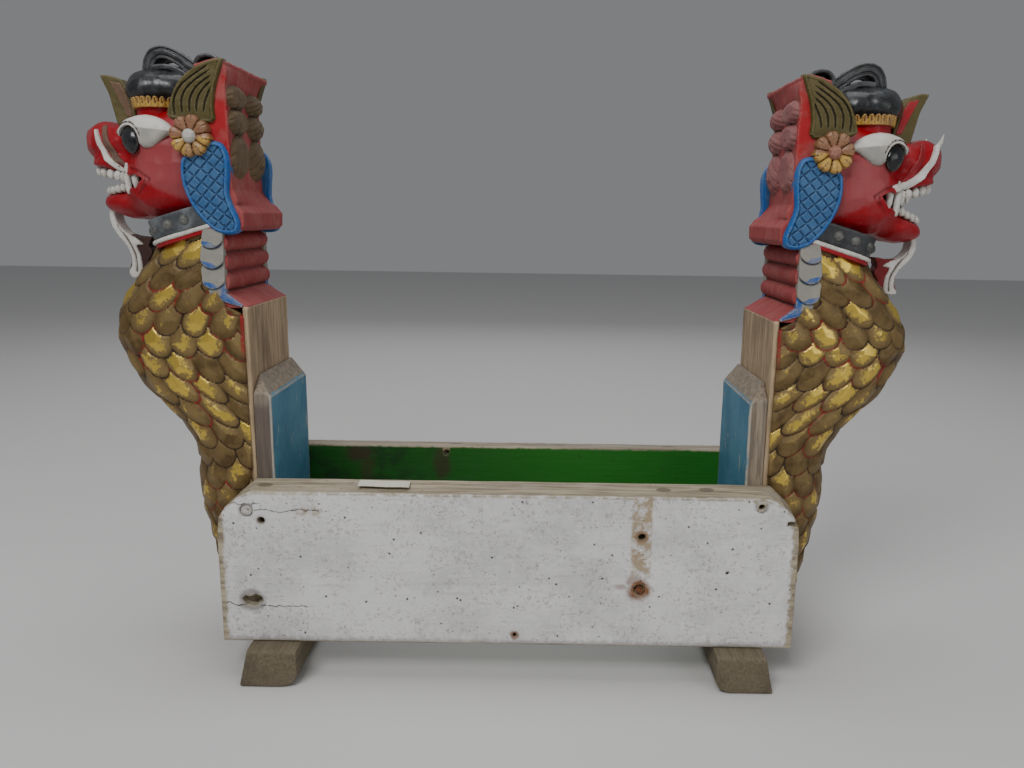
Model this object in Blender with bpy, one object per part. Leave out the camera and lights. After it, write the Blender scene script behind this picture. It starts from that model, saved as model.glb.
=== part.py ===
"""Carved dragon cradle: two dragon posts held between two boards, on two runner feet.

Frame: +X to the right along the boards, +Y to the back, +Z up, origin under the middle.
Lengths below are in millimetres; MM turns them into metres when a mesh is made.
Each side of the cradle is the mirror image of the other: SIDES gives the sign of X.
"""
import math

import bmesh
import bpy
from mathutils import Matrix, Vector

MM = 0.001
SLIVER = 0.00002           # metres: shorter edges left by a boolean are closed up
FIT = 0.3                  # clearance left between neighbouring pieces
SIDES = (("left", -1.0), ("right", 1.0))

# Boards
HALF_DEPTH = 100.0         # outer face of each board, measured from the middle plane
BOARD_THICK = 36.0
BOARD_LOW = 39.7
BOARD_TOP = 200.7
BOARD_END = 300.0
GAP_HALF = HALF_DEPTH - BOARD_THICK

# Posts, cheeks and feet
POST_IN = 257.0            # inner face of the post, from the middle of the cradle
CHEEK_IN = 239.0
SHOULDER = 373.0
FOOT_HALF = 120.0
FOOT_TOP = BOARD_LOW - FIT
TENON_DEEP = 24.0

# Fastenings
PEG_RADIUS = 4.5
PEG_SPOTS = ((257.0, 178.0), (257.0, 84.0))
PEG_LONG = 52.0
PEG_SINK = 14.0            # how far a worn peg has shrunk back into its hole
FLUSH_PEG = "left_near_upper_peg"
HOLE_SEGMENTS = 12


def clear_scene():
    for obj in list(bpy.data.objects):
        bpy.data.objects.remove(obj, do_unlink=True)


def make_material(name, color, roughness, metallic=0.0):
    material = bpy.data.materials.new(name)
    material.use_nodes = True
    shader = material.node_tree.nodes["Principled BSDF"]
    shader.inputs["Base Color"].default_value = (*color, 1.0)
    shader.inputs["Roughness"].default_value = roughness
    shader.inputs["Metallic"].default_value = metallic
    return material


def mesh_object(name, verts, faces, material=None):
    """A closed mesh object from points in millimetres, normals outward."""
    mesh = bpy.data.meshes.new(name)
    mesh.from_pydata([(x * MM, y * MM, z * MM) for x, y, z in verts], [], faces)
    work = bmesh.new()
    work.from_mesh(mesh)
    bmesh.ops.recalc_face_normals(work, faces=work.faces)
    work.to_mesh(mesh)
    work.free()
    obj = bpy.data.objects.new(name, mesh)
    bpy.context.collection.objects.link(obj)
    if material:
        mesh.materials.append(material)
    return obj


def loft(name, rings, material=None):
    """Closed solid through rings of equal length, flat caps on the first and the last."""
    count = len(rings[0])
    verts = [point for ring in rings for point in ring]
    faces = [tuple(range(count)), tuple(range(len(verts) - count, len(verts)))]
    for level in range(len(rings) - 1):
        low = level * count
        for i in range(count):
            j = (i + 1) % count
            faces.append((low + i, low + j, low + count + j, low + count + i))
    return mesh_object(name, verts, faces, material)


def along_y(name, outline, front, back, material=None):
    """Solid with one (x, z) outline, between two values of y."""
    rings = [[(x, y, z) for x, z in outline] for y in (front, back)]
    return loft(name, rings, material)


def box(name, low, high):
    """Box between two corner points."""
    x0, y0, z0 = low
    x1, y1, z1 = high
    ring = [(x0, y0), (x1, y0), (x1, y1), (x0, y1)]
    return loft(name, [[(x, y, z) for x, y in ring] for z in (z0, z1)])


def rod(name, start, end, radius, segments=HOLE_SEGMENTS, material=None):
    """Cylinder from start to end."""
    start = Vector(start)
    end = Vector(end)
    turn = (end - start).to_track_quat("Z", "Y").to_matrix()
    rings = []
    for centre in (start, end):
        ring = []
        for i in range(segments):
            angle = 2 * math.pi * i / segments
            offset = turn @ Vector((radius * math.cos(angle), radius * math.sin(angle), 0))
            ring.append(tuple(centre + offset))
        rings.append(ring)
    return loft(name, rings, material)


def ball(name, centre, radii, segments=14, rows=7):
    """Ellipsoid, closed, made of rows of quads between two poles."""
    verts = [(centre[0], centre[1], centre[2] - radii[2])]
    for row in range(1, rows):
        tilt = math.pi * row / rows
        for i in range(segments):
            angle = 2 * math.pi * i / segments
            verts.append((centre[0] + radii[0] * math.sin(tilt) * math.cos(angle),
                          centre[1] + radii[1] * math.sin(tilt) * math.sin(angle),
                          centre[2] - radii[2] * math.cos(tilt)))
    verts.append((centre[0], centre[1], centre[2] + radii[2]))
    top = len(verts) - 1
    faces = []
    for i in range(segments):
        j = (i + 1) % segments
        faces.append((0, 1 + j, 1 + i))
        last = 1 + (rows - 2) * segments
        faces.append((last + i, last + j, top))
        for row in range(rows - 2):
            a = 1 + row * segments
            b = a + segments
            faces.append((a + i, a + j, b + j, b + i))
    return mesh_object(name, verts, faces)


def combine(obj, others, operation):
    """Apply one exact boolean per helper solid, then remove the helpers."""
    for other in others:
        modifier = obj.modifiers.new(operation.title(), "BOOLEAN")
        modifier.solver = "EXACT"
        modifier.operation = operation
        modifier.object = other
        other.hide_render = True
        other.display_type = "WIRE"
    bpy.context.view_layer.update()
    depsgraph = bpy.context.evaluated_depsgraph_get()
    result = bpy.data.meshes.new_from_object(obj.evaluated_get(depsgraph))
    result.name = obj.name
    obj.modifiers.clear()
    obj.data = result
    work = bmesh.new()
    work.from_mesh(result)
    bmesh.ops.remove_doubles(work, verts=work.verts, dist=SLIVER)
    bmesh.ops.dissolve_degenerate(work, dist=SLIVER, edges=work.edges)
    bmesh.ops.triangulate(work, faces=work.faces)
    work.to_mesh(result)
    work.free()
    for other in others:
        bpy.data.objects.remove(other, do_unlink=True)
    return obj


def mirror_copy(obj, name):
    """The same piece on the other side of the cradle."""
    mesh = obj.data.copy()
    mesh.name = name
    mesh.transform(Matrix.Scale(-1.0, 4, (1.0, 0.0, 0.0)))
    mesh.flip_normals()
    copy = bpy.data.objects.new(name, mesh)
    bpy.context.collection.objects.link(copy)
    return copy


def mirrored(points, side):
    """Outline given as (distance outward, z) placed on one side of the cradle."""
    return [(side * out, z) for out, z in points]


def peg_hole(x, z, face, label):
    """Cutter for a board peg: from outside the board face inward."""
    start = (x, face * (HALF_DEPTH + 5.0), z)
    end = (x, face * (HALF_DEPTH - PEG_LONG - FIT), z)
    return rod(label, start, end, PEG_RADIUS + FIT)


def all_peg_holes(side, face, label):
    holes = []
    for number, (out, z) in enumerate(PEG_SPOTS):
        holes.append(peg_hole(side * out, z, face, f"{label}_{number}"))
    return holes


# ---------------------------------------------------------------- boards

BACK_CORNER_LEFT = [(300.0, 148.0), (298.0, 158.0), (290.0, 171.0), (274.0, 185.0), (257.0, 200.7)]
BACK_CORNER_RIGHT = [(300.0, 148.0), (298.0, 160.0), (293.0, 171.0), (284.0, 183.0), (264.0, 200.7)]
FACE_CORNER_LEFT = [(276.0, 148.0), (275.5, 165.0), (274.0, 181.0), (263.0, 189.0), (251.0, 195.5)]
FACE_CORNER_RIGHT = [(283.0, 148.0), (283.0, 168.0), (279.0, 178.0), (271.0, 188.0), (256.0, 196.5)]


def board_outline(end_left, end_right, low, left_corner, right_corner):
    left = [(-out, z) for out, z in left_corner]
    right = list(reversed(right_corner))
    return [(-end_left, low)] + left + right + [(end_right, low)]


def make_board(name, face, material):
    """Plank with ends and top edge sloped back from its outer face; rounded top corners."""
    inner = board_outline(BOARD_END, BOARD_END, BOARD_LOW, BACK_CORNER_LEFT, BACK_CORNER_RIGHT)
    outer = board_outline(277.0, 284.0, BOARD_LOW, FACE_CORNER_LEFT, FACE_CORNER_RIGHT)
    rings = [[(x, face * (GAP_HALF + FIT), z) for x, z in inner],
             [(x, face * HALF_DEPTH, z) for x, z in outer]]
    board = loft(name, rings, material)
    cutters = []
    for label, side in SIDES:
        cutters += all_peg_holes(side, face, f"cut_{name}_{label}")
    return board, cutters


def front_board(material):
    board, cutters = make_board("front_board", -1.0, material)
    outside = -HALF_DEPTH - 5.0
    cutters.append(box("slot", (272.0, outside, 169.5), (310.0, -50.0, 174.5)))
    cutters.append(rod("bolt_hole", (132.0, outside, 156.0), (132.0, -50.0, 156.0), 3.6))
    cutters.append(rod("old_hole", (-243.0, outside, 168.0), (-243.0, -82.0, 168.0), 3.4))
    cutters.append(rod("nail_hole", (131.0, outside, 101.0), (131.0, -78.0, 101.0), 4.0 + FIT))
    cutters.append(rod("small_hole", (7.0, outside, 50.0), (7.0, -90.0, 50.0), 2.2, 8))
    ragged = [(-266.0, 85.0), (-262.0, 89.0), (-252.0, 90.0), (-246.0, 86.0),
              (-249.0, 79.0), (-258.0, 78.0), (-264.0, 80.0)]
    cutters.append(along_y("ragged", ragged, outside, -88.0))
    return combine(board, cutters, "DIFFERENCE")


def rear_board(material):
    board, cutters = make_board("rear_board", 1.0, material)
    return combine(board, cutters, "DIFFERENCE")


# ---------------------------------------------------------------- cheeks and feet

def cheek_block(label, side, material):
    """Plank against the post, tops bevelled to the front and to the inside."""
    half = GAP_HALF - FIT
    high = [(-half, 287.0), (-44.0, 304.0), (half - 4.0, 303.0), (half, 299.0)]
    low_edge = [(-half, 276.0), (-46.0, 285.0), (half - 4.0, 286.0), (half, 283.0)]
    base = [(half, FOOT_TOP + FIT), (-half, FOOT_TOP + FIT)]
    post_side = [(side * (POST_IN - FIT), y, z) for y, z in high + base]
    step_side = [(side * (POST_IN - 7.0), y, z) for y, z in high + base]
    inner_side = [(side * CHEEK_IN, y, z) for y, z in low_edge + base]
    block = loft(f"{label}_cheek_block", [post_side, step_side, inner_side], material)
    tenon = box("tenon", (min(side * 243.0, side * 253.0), -40.0, FOOT_TOP - TENON_DEEP),
                (max(side * 243.0, side * 253.0), 40.0, FOOT_TOP + 8.0))
    combine(block, [tenon], "UNION")
    cutters = []
    for face in (-1.0, 1.0):
        cutters += all_peg_holes(side, face, f"cut_cheek_{label}_{face:+.0f}")
    return combine(block, cutters, "DIFFERENCE")


def foot_runner(label, side, material):
    """Runner raked outward, its inner lower edge rounded, with a mortise for the cheek."""
    outline = [(209.0, FOOT_TOP), (257.5, FOOT_TOP), (266.5, 0.0), (222.0, 0.0),
               (212.5, 4.5), (208.5, 13.0)]
    end = [(211.0, FOOT_TOP - 2.0), (255.5, FOOT_TOP - 2.0), (264.5, 1.5), (223.0, 1.5),
           (214.5, 6.0), (210.5, 13.5)]
    stations = [(-FOOT_HALF, end), (-FOOT_HALF + 3.0, outline),
                (FOOT_HALF - 3.0, outline), (FOOT_HALF, end)]
    rings = [[(side * out, y, z) for out, z in shape] for y, shape in stations]
    foot = loft(f"{label}_foot_runner", rings, material)
    mortise = box("mortise",
                  (min(side * 243.0, side * 253.0) - FIT, -40.0 - FIT, FOOT_TOP - TENON_DEEP - FIT),
                  (max(side * 243.0, side * 253.0) + FIT, 40.0 + FIT, FOOT_TOP + 5.0))
    return combine(foot, [mortise], "DIFFERENCE")


# ---------------------------------------------------------------- dragon post

# Each trunk point: distance outward, height, and how much the edge is rounded there.
TRUNK = [
    (257.3, 40.2, 0.0), (257.3, SHOULDER, 0.0), (280.0, 388.0, 0.0), (275.0, 397.0, 0.0),
    (280.5, 407.0, 0.0), (276.0, 417.0, 0.0), (280.5, 427.0, 0.0), (276.0, 436.0, 0.0),
    (276.0, 443.0, 0.0), (260.0, 449.0, 0.0), (256.5, 456.0, 0.0), (257.5, 463.0, 0.0),
    (266.0, 474.0, 0.0), (271.0, 489.0, 0.0), (271.0, 497.0, 0.0), (266.0, 517.0, 0.0),
    (271.5, 537.0, 0.0), (265.5, 549.5, 0.0), (271.5, 561.0, 0.0), (265.5, 572.0, 0.0),
    (271.0, 584.0, 0.0), (267.0, 601.0, 0.0), (276.0, 604.5, 0.0), (298.0, 598.0, 0.0),
    (312.0, 580.0, 0.0), (318.0, 540.0, 0.0), (316.0, 500.0, 0.0), (318.0, 470.0, 0.3),
    (334.0, 452.0, 0.7), (352.0, 436.0, 1.0), (368.0, 411.0, 1.0), (381.0, 392.0, 1.0),
    (393.0, 370.0, 1.0), (398.0, 350.0, 1.0), (394.0, 326.0, 1.0), (382.0, 300.0, 1.0),
    (363.0, 277.0, 1.0), (345.0, 258.0, 1.0), (332.0, 238.0, 1.0), (326.0, 212.0, 1.0),
    (328.0, 190.0, 1.0), (325.0, 160.0, 1.0), (320.0, 135.0, 1.0), (312.0, 104.0, 1.0),
    (306.0, 75.0, 1.0), (298.0, 52.0, 1.0), (286.0, 40.2, 1.0),
]
# (y as a share of the half depth, how far the rounded edge is drawn in)
TRUNK_STATIONS = ((1.0, 26.0), (0.93, 14.0), (0.78, 5.0), (0.5, 0.0))

# Head: outline seen from the side, jaws open.
HEAD = [
    (300.0, 470.0), (300.0, 566.0), (325.0, 571.0), (350.0, 571.0), (368.0, 566.0),
    (379.0, 552.0), (391.0, 550.0), (406.0, 553.0), (418.0, 549.0), (427.0, 540.0),
    (431.0, 528.0), (426.0, 515.0), (416.0, 507.0), (414.0, 499.0), (400.0, 496.0),
    (384.0, 493.5), (356.0, 492.0), (374.0, 486.0), (396.0, 484.5), (413.0, 485.5),
    (415.0, 479.0), (411.0, 472.0), (400.0, 462.0), (382.0, 457.0), (368.0, 455.0),
    (346.0, 457.0), (325.0, 460.0),
]
HEAD_MIDDLE = (350.0, 512.0)
HEAD_HALF = 56.0
SNOUT_START = 372.0
SNOUT_TIP = 431.0
HEAD_STATIONS = ((1.0, 0.70), (0.9, 0.86), (0.7, 0.95), (0.35, 1.0))


def trunk_solid(side):
    rings = []
    levels = [(-share, inset) for share, inset in TRUNK_STATIONS]
    levels += [(share, inset) for share, inset in reversed(TRUNK_STATIONS)]
    for share, inset in levels:
        y = share * (GAP_HALF - FIT)
        rings.append([(side * (out - inset * soft), y, z) for out, z, soft in TRUNK])
    return loft("trunk", rings)


def head_solid(side):
    """Loft across the head, narrower at the snout."""
    levels = [(-share, size) for share, size in HEAD_STATIONS]
    levels += [(share, size) for share, size in reversed(HEAD_STATIONS)]
    rings = []
    for share, size in levels:
        ring = []
        for out, z in HEAD:
            reach = max(0.0, out - SNOUT_START) / (SNOUT_TIP - SNOUT_START)
            y = share * HEAD_HALF * (1.0 - 0.42 * min(1.0, reach))
            scaled_out = HEAD_MIDDLE[0] + (out - HEAD_MIDDLE[0]) * size
            scaled_z = HEAD_MIDDLE[1] + (z - HEAD_MIDDLE[1]) * size
            ring.append((side * scaled_out, y, scaled_z))
        rings.append(ring)
    return loft("head", rings)


def frontlet_solid(side):
    """Folded leaf standing up from the forehead in front of the crown."""
    outline = [(381.0, 546.0), (396.0, 546.0), (403.0, 568.0), (411.5, 595.5),
               (403.0, 595.0), (394.0, 586.0), (388.0, 570.0)]
    stations = [(-9.0, 0.85), (-5.0, 1.0), (9.0, 1.0), (13.0, 0.85)]
    rings = []
    for y, size in stations:
        rings.append([(side * (396.0 + (out - 396.0) * size), y, 570.0 + (z - 570.0) * size)
                      for out, z in outline])
    return loft("frontlet", rings)


def dragon_post(label, side, material):
    post = trunk_solid(side)
    post.name = f"{label}_dragon_post"
    post.data.materials.append(material)
    extras = [head_solid(side), frontlet_solid(side)]
    for face in (-1.0, 1.0):
        eye = ball("eye", (side * 365.0, face * 43.0, 529.0), (13.0, 13.0, 14.0), 10, 6)
        brow = ball("brow", (side * 343.0, face * 44.0, 541.0), (27.0, 14.0, 13.0), 10, 6)
        extras += [eye, brow]
    combine(post, extras, "UNION")
    seat = crown_solid("seat", side, FIT)
    cutters = [seat]
    for face in (-1.0, 1.0):
        cutters += all_peg_holes(side, face, f"cut_post_{label}_{face:+.0f}")
    return combine(post, cutters, "DIFFERENCE")


# ---------------------------------------------------------------- crown

CROWN_BASE = 566.0
CROWN_OUT = 354.0


def crown_solid(name, side, grow=0.0, material=None):
    """Domed cap; grow enlarges it slightly for the matching seat in the head."""
    rings = []
    for share, size in ((0.0, 0.92), (0.35, 1.0), (0.62, 0.9), (0.87, 0.6), (1.0, 0.2)):
        z = CROWN_BASE - grow + share * 36.0
        ring = []
        for i in range(16):
            angle = 2 * math.pi * i / 16
            out = CROWN_OUT + (31.0 * size + grow) * math.cos(angle)
            ring.append((side * out, (39.0 * size + grow) * math.sin(angle), z))
        rings.append(ring)
    return loft(name, rings, material)


LOOP_PATH = [(371.0, 582.0), (370.0, 600.0), (362.0, 612.0), (348.0, 616.5), (334.0, 612.0),
             (320.0, 603.0), (306.0, 593.0)]


def strip(name, path, half_thick, half_wide):
    """Solid strip that follows a path of (x, z) points, square in section."""
    rings = []
    for i, point in enumerate(path):
        before = path[max(0, i - 1)]
        after = path[min(len(path) - 1, i + 1)]
        dx = after[0] - before[0]
        dz = after[1] - before[1]
        length = math.hypot(dx, dz)
        nx = -dz / length * half_thick
        nz = dx / length * half_thick
        x, z = point
        rings.append([(x - nx, -half_wide, z - nz), (x + nx, -half_wide, z + nz),
                      (x + nx, half_wide, z + nz), (x - nx, half_wide, z - nz)])
    return loft(name, rings)


def crown(label, side, material):
    """Cap with the hair loop arching from its front back to the mane."""
    cap = crown_solid(f"{label}_crown", side, 0.0, material)
    loop = strip("loop", mirrored(LOOP_PATH, side), 4.6, 14.0)
    combine(cap, [loop], "UNION")
    mane = [(200.0, 450.0), (315.0, 450.0), (319.0, 540.0), (312.6, 580.6), (298.4, 599.0),
            (276.0, 640.0), (200.0, 640.0)]
    trim = along_y("trim", mirrored(mane, side), -70.0, 70.0)
    return combine(cap, [trim], "DIFFERENCE")


# ---------------------------------------------------------------- applied carvings

ROSETTE_OUT = 300.5
ROSETTE_Z = 533.5
ROSETTE_RADIUS = 19.6
EAR = [(319.0, 549.0), (319.5, 563.0), (312.5, 580.0), (299.0, 592.5), (284.0, 600.0),
       (270.0, 603.0), (274.0, 591.0), (279.0, 577.0), (281.0, 562.0), (283.5, 546.0)]


def rosette_seat(side, face):
    """Cutter that keeps the ear and the flap clear of the rosette between them."""
    return rod("seat", (side * ROSETTE_OUT, face * (GAP_HALF - 5.0), ROSETTE_Z),
               (side * ROSETTE_OUT, face * (GAP_HALF + 20.0), ROSETTE_Z), ROSETTE_RADIUS + 1.2, 16)


def ear_leaf(name, side, face, material):
    """Leaf lying against the side of the mane above the rosette."""
    near = GAP_HALF + 0.2
    middle = (296.0, 574.0)
    rings = []
    for y, size in ((near, 1.0), (near + 4.0, 0.97), (near + 7.5, 0.80)):
        rings.append([(side * (middle[0] + (out - middle[0]) * size), face * y,
                       middle[1] + (z - middle[1]) * size) for out, z in EAR])
    leaf = loft(name, rings, material)
    return combine(leaf, [rosette_seat(side, face)], "DIFFERENCE")


def rosette(name, side, face, material):
    """Eight rounded petals round a raised centre."""
    near = GAP_HALF + 0.2
    petals = 8
    steps = petals * 4
    rings = []
    for y, size in ((near, 0.9), (near + 6.0, 1.0), (near + 10.0, 0.82), (near + 12.0, 0.4),
                    (near + 16.0, 0.36), (near + 18.5, 0.16)):
        ring = []
        for i in range(steps):
            angle = 2 * math.pi * i / steps
            ripple = 0.08 if size > 0.5 else 0.0
            radius = ROSETTE_RADIUS * size * (1.0 - ripple + ripple * math.cos(petals * angle))
            ring.append((side * (ROSETTE_OUT + radius * math.cos(angle)), face * y,
                         ROSETTE_Z + radius * math.sin(angle)))
        rings.append(ring)
    return loft(name, rings, material)


PLAQUE = [(297.0, 524.0), (310.5, 515.0), (313.5, 504.0), (312.5, 490.0), (307.0, 474.0),
          (297.5, 459.0), (284.5, 446.5), (270.5, 443.0), (261.5, 446.5), (260.0, 456.0),
          (264.5, 468.0), (268.5, 482.0), (267.0, 499.0), (267.0, 516.0), (272.5, 527.5),
          (284.0, 530.0)]


def plaque(name, side, face, material):
    """Kidney-shaped cheek flap under the rosette."""
    near = GAP_HALF + 0.2
    middle = (288.0, 486.0)
    rings = []
    for y, size in ((near, 1.0), (near + 3.0, 1.0), (near + 5.0, 0.93)):
        rings.append([(side * (middle[0] + (out - middle[0]) * size), face * y,
                       middle[1] + (z - middle[1]) * size) for out, z in PLAQUE])
    flap = loft(name, rings, material)
    return combine(flap, [rosette_seat(side, face)], "DIFFERENCE")


BEARD = [(400.4, 461.4), (411.4, 471.4), (413.5, 463.0), (412.5, 453.0), (406.0, 441.0),
         (394.5, 430.0), (392.0, 418.0), (396.0, 407.0), (397.0, 400.0), (389.0, 396.0),
         (381.8, 404.0), (375.0, 415.0), (369.0, 427.0), (367.0, 437.0), (379.0, 437.0),
         (391.0, 442.0), (399.0, 452.0)]


def beard(label, side, material):
    """Curl that leaves the chin and comes back to the chest."""
    return along_y(f"{label}_beard", mirrored(BEARD, side), -11.0, 9.0, material)


# ---------------------------------------------------------------- fastenings

def board_peg(name, x, z, face, sink, material):
    start = (x, face * (HALF_DEPTH - sink), z)
    end = (x, face * (HALF_DEPTH - PEG_LONG), z)
    return rod(name, start, end, PEG_RADIUS, HOLE_SEGMENTS, material)


def rusty_nail(material):
    shank = rod("rusty_nail", (131.0, -HALF_DEPTH - 1.5, 101.0), (131.0, -78.5, 101.0), 4.0, 10,
                material)
    return shank


def build():
    clear_scene()
    white = make_material("white_painted_plank", (0.60, 0.59, 0.58), 0.85)
    green = make_material("green_painted_plank", (0.02, 0.14, 0.02), 0.6)
    blue = make_material("blue_painted_block", (0.03, 0.13, 0.22), 0.75)
    timber = make_material("bare_timber", (0.22, 0.15, 0.09), 0.9)
    gold = make_material("painted_carving", (0.24, 0.15, 0.05), 0.55)
    black = make_material("black_gloss", (0.01, 0.012, 0.016), 0.3)
    olive = make_material("olive_carving", (0.13, 0.12, 0.03), 0.6)
    petal = make_material("gilt_rosette", (0.45, 0.28, 0.06), 0.45)
    blue_flap = make_material("blue_carving", (0.02, 0.12, 0.42), 0.5)
    ivory = make_material("white_carving", (0.55, 0.52, 0.48), 0.6)
    rust = make_material("rusted_iron", (0.12, 0.045, 0.02), 0.9)

    front_board(white)
    rear_board(green)
    rusty_nail(rust)
    label, side = SIDES[0]
    pieces = [cheek_block(label, side, blue), foot_runner(label, side, timber),
              dragon_post(label, side, gold), crown(label, side, black),
              beard(label, side, ivory)]
    for where, face in (("near", -1.0), ("far", 1.0)):
        pieces.append(ear_leaf(f"{label}_ear_{where}", side, face, olive))
        pieces.append(rosette(f"{label}_rosette_{where}", side, face, petal))
        pieces.append(plaque(f"{label}_flap_{where}", side, face, blue_flap))
    for piece in pieces:
        mirror_copy(piece, piece.name.replace(label, SIDES[1][0]))
    for label, side in SIDES:
        for where, face in (("near", -1.0), ("far", 1.0)):
            for row, (out, z) in zip(("upper", "lower"), PEG_SPOTS):
                name = f"{label}_{where}_{row}_peg"
                sink = 1.0 if name == FLUSH_PEG else PEG_SINK
                board_peg(name, side * out, z, face, sink, timber)


build()
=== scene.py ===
"""Looks of the carved dragon cradle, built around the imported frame.

Shapes are written in millimetres in the row frame. A dragon is carved once, in its own
coordinates (out = distance from the middle of the cradle, y, z), and set on both sides.
Solid pieces are signed distance fields turned into meshes; the scaled body is a swept grid.
"""
import math

import bpy
import numpy as np
from mathutils import Matrix, Vector


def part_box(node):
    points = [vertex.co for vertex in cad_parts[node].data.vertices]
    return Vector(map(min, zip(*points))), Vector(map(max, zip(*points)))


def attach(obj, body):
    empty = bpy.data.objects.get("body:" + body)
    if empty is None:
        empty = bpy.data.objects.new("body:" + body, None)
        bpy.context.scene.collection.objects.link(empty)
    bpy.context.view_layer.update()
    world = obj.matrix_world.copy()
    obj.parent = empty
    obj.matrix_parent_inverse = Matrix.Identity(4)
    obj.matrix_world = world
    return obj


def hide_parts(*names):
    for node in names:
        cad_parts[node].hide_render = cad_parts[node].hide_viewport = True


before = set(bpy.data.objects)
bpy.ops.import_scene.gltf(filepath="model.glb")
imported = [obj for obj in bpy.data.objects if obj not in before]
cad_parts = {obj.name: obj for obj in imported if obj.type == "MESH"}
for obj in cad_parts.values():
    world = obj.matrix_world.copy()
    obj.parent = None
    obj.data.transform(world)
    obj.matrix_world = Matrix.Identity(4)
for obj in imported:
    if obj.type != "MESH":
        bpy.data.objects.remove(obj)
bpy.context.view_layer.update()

MM = 0.001
SIDES = (("left", -1.0), ("right", 1.0))
FINE = 1.0

# Boards and cheeks, from the CAD frame
BOARD_LOW, BOARD_HIGH = (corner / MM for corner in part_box("front_board"))
REAR_LOW, REAR_HIGH = (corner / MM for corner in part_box("rear_board"))
CHEEK_LOW, CHEEK_HIGH = (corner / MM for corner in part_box("right_cheek_block"))
FOOT_LOW, FOOT_HIGH = (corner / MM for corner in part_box("right_foot_runner"))
SIDE_Y = (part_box("right_dragon_post")[1] / MM).y


# ---------------- distance fields

def smooth_min(a, b, k):
    h = np.clip(0.5 + 0.5 * (b - a) / k, 0.0, 1.0)
    return b * (1.0 - h) + a * h - k * h * (1.0 - h)


def union(parts):
    """Nearest of several distances."""
    return np.minimum.reduce(np.broadcast_arrays(*parts))


def smooth_max(a, b, k):
    return -smooth_min(-a, -b, k)


def ease(t):
    """Quarter-circle rise from 0 to 1."""
    t = np.clip(t, 0.0, 1.0)
    return np.sqrt(1.0 - (1.0 - t) ** 2)


def ellipsoid(p, centre, radii):
    q = [(p[i] - centre[i]) / radii[i] for i in range(3)]
    k0 = np.sqrt(q[0] ** 2 + q[1] ** 2 + q[2] ** 2)
    k1 = np.sqrt(sum((q[i] / radii[i]) ** 2 for i in range(3)))
    return k0 * (k0 - 1.0) / np.maximum(k1, 1e-6)


def capsule(p, start, end, r0, r1):
    """Rounded rod from start to end, its radius going from r0 to r1."""
    e = [end[i] - start[i] for i in range(3)]
    w = [p[i] - start[i] for i in range(3)]
    t = np.clip(sum(w[i] * e[i] for i in range(3)) / sum(v * v for v in e), 0.0, 1.0)
    gap = np.sqrt(sum((w[i] - e[i] * t) ** 2 for i in range(3)))
    return gap - (r0 + (r1 - r0) * t)


def tube(p, path, radii):
    """Rounded rod along a path of 3-D points with a radius at each."""
    parts = [capsule(p, path[i], path[i + 1], radii[i], radii[i + 1])
             for i in range(len(path) - 1)]
    return union(parts)


def stroke(u, v, path, widths):
    """2-D distance to a drawn line whose half width changes along it."""
    best = None
    for i in range(len(path) - 1):
        (au, av), (bu, bv) = path[i], path[i + 1]
        eu, ev = bu - au, bv - av
        t = np.clip(((u - au) * eu + (v - av) * ev) / (eu * eu + ev * ev), 0.0, 1.0)
        gap = np.hypot(u - au - eu * t, v - av - ev * t) - (widths[i] + (widths[i + 1] - widths[i]) * t)
        best = gap if best is None else np.minimum(best, gap)
    return best


def polygon(u, v, points):
    """Signed distance to a closed outline, negative inside."""
    best = None
    sign = 1.0
    for (au, av), (bu, bv) in zip(points, points[1:] + points[:1]):
        eu, ev = bu - au, bv - av
        wu, wv = u - au, v - av
        t = np.clip((wu * eu + wv * ev) / (eu * eu + ev * ev), 0.0, 1.0)
        gap = (wu - eu * t) ** 2 + (wv - ev * t) ** 2
        best = gap if best is None else np.minimum(best, gap)
        above, below, turned = v >= av, v < bv, eu * wv > ev * wu
        crossed = (above & below & turned) | (~above & ~below & ~turned)
        sign = np.where(crossed, -sign, sign)
    return sign * np.sqrt(best)


def rounded(points, steps=5, closed=True):
    """Catmull-Rom curve through a few points."""
    count = len(points)
    spans = count if closed else count - 1
    out = []
    for i in range(spans):
        if closed:
            a, b, c, d = (np.array(points[(i + k) % count], float) for k in (-1, 0, 1, 2))
        else:
            a, b, c, d = (np.array(points[min(max(i + k, 0), count - 1)], float) for k in (-1, 0, 1, 2))
        for s in range(steps):
            t = s / steps
            point = 0.5 * (2 * b + (c - a) * t + (2 * a - 5 * b + 4 * c - d) * t * t
                           + (3 * b - a - 3 * c + d) * t ** 3)
            out.append(tuple(point))
    if not closed:
        out.append(tuple(points[-1]))
    return out


def slab(flat, across, radius):
    """Solid from a 2-D distance and a distance across it, with rounded edges."""
    a = flat + radius
    b = across + radius
    return np.minimum(np.maximum(a, b), 0.0) + np.hypot(np.maximum(a, 0.0), np.maximum(b, 0.0)) - radius


def relief(p, flat, base, height, shoulder, deep=8.0):
    """Carving that stands out from the side face at |y| = base, domed near its outline."""
    side = np.abs(p[1])
    top = base + height * ease(-flat / shoulder)
    return np.maximum(np.maximum(flat, side - top), base - deep - side)


# ---------------- meshes

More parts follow.
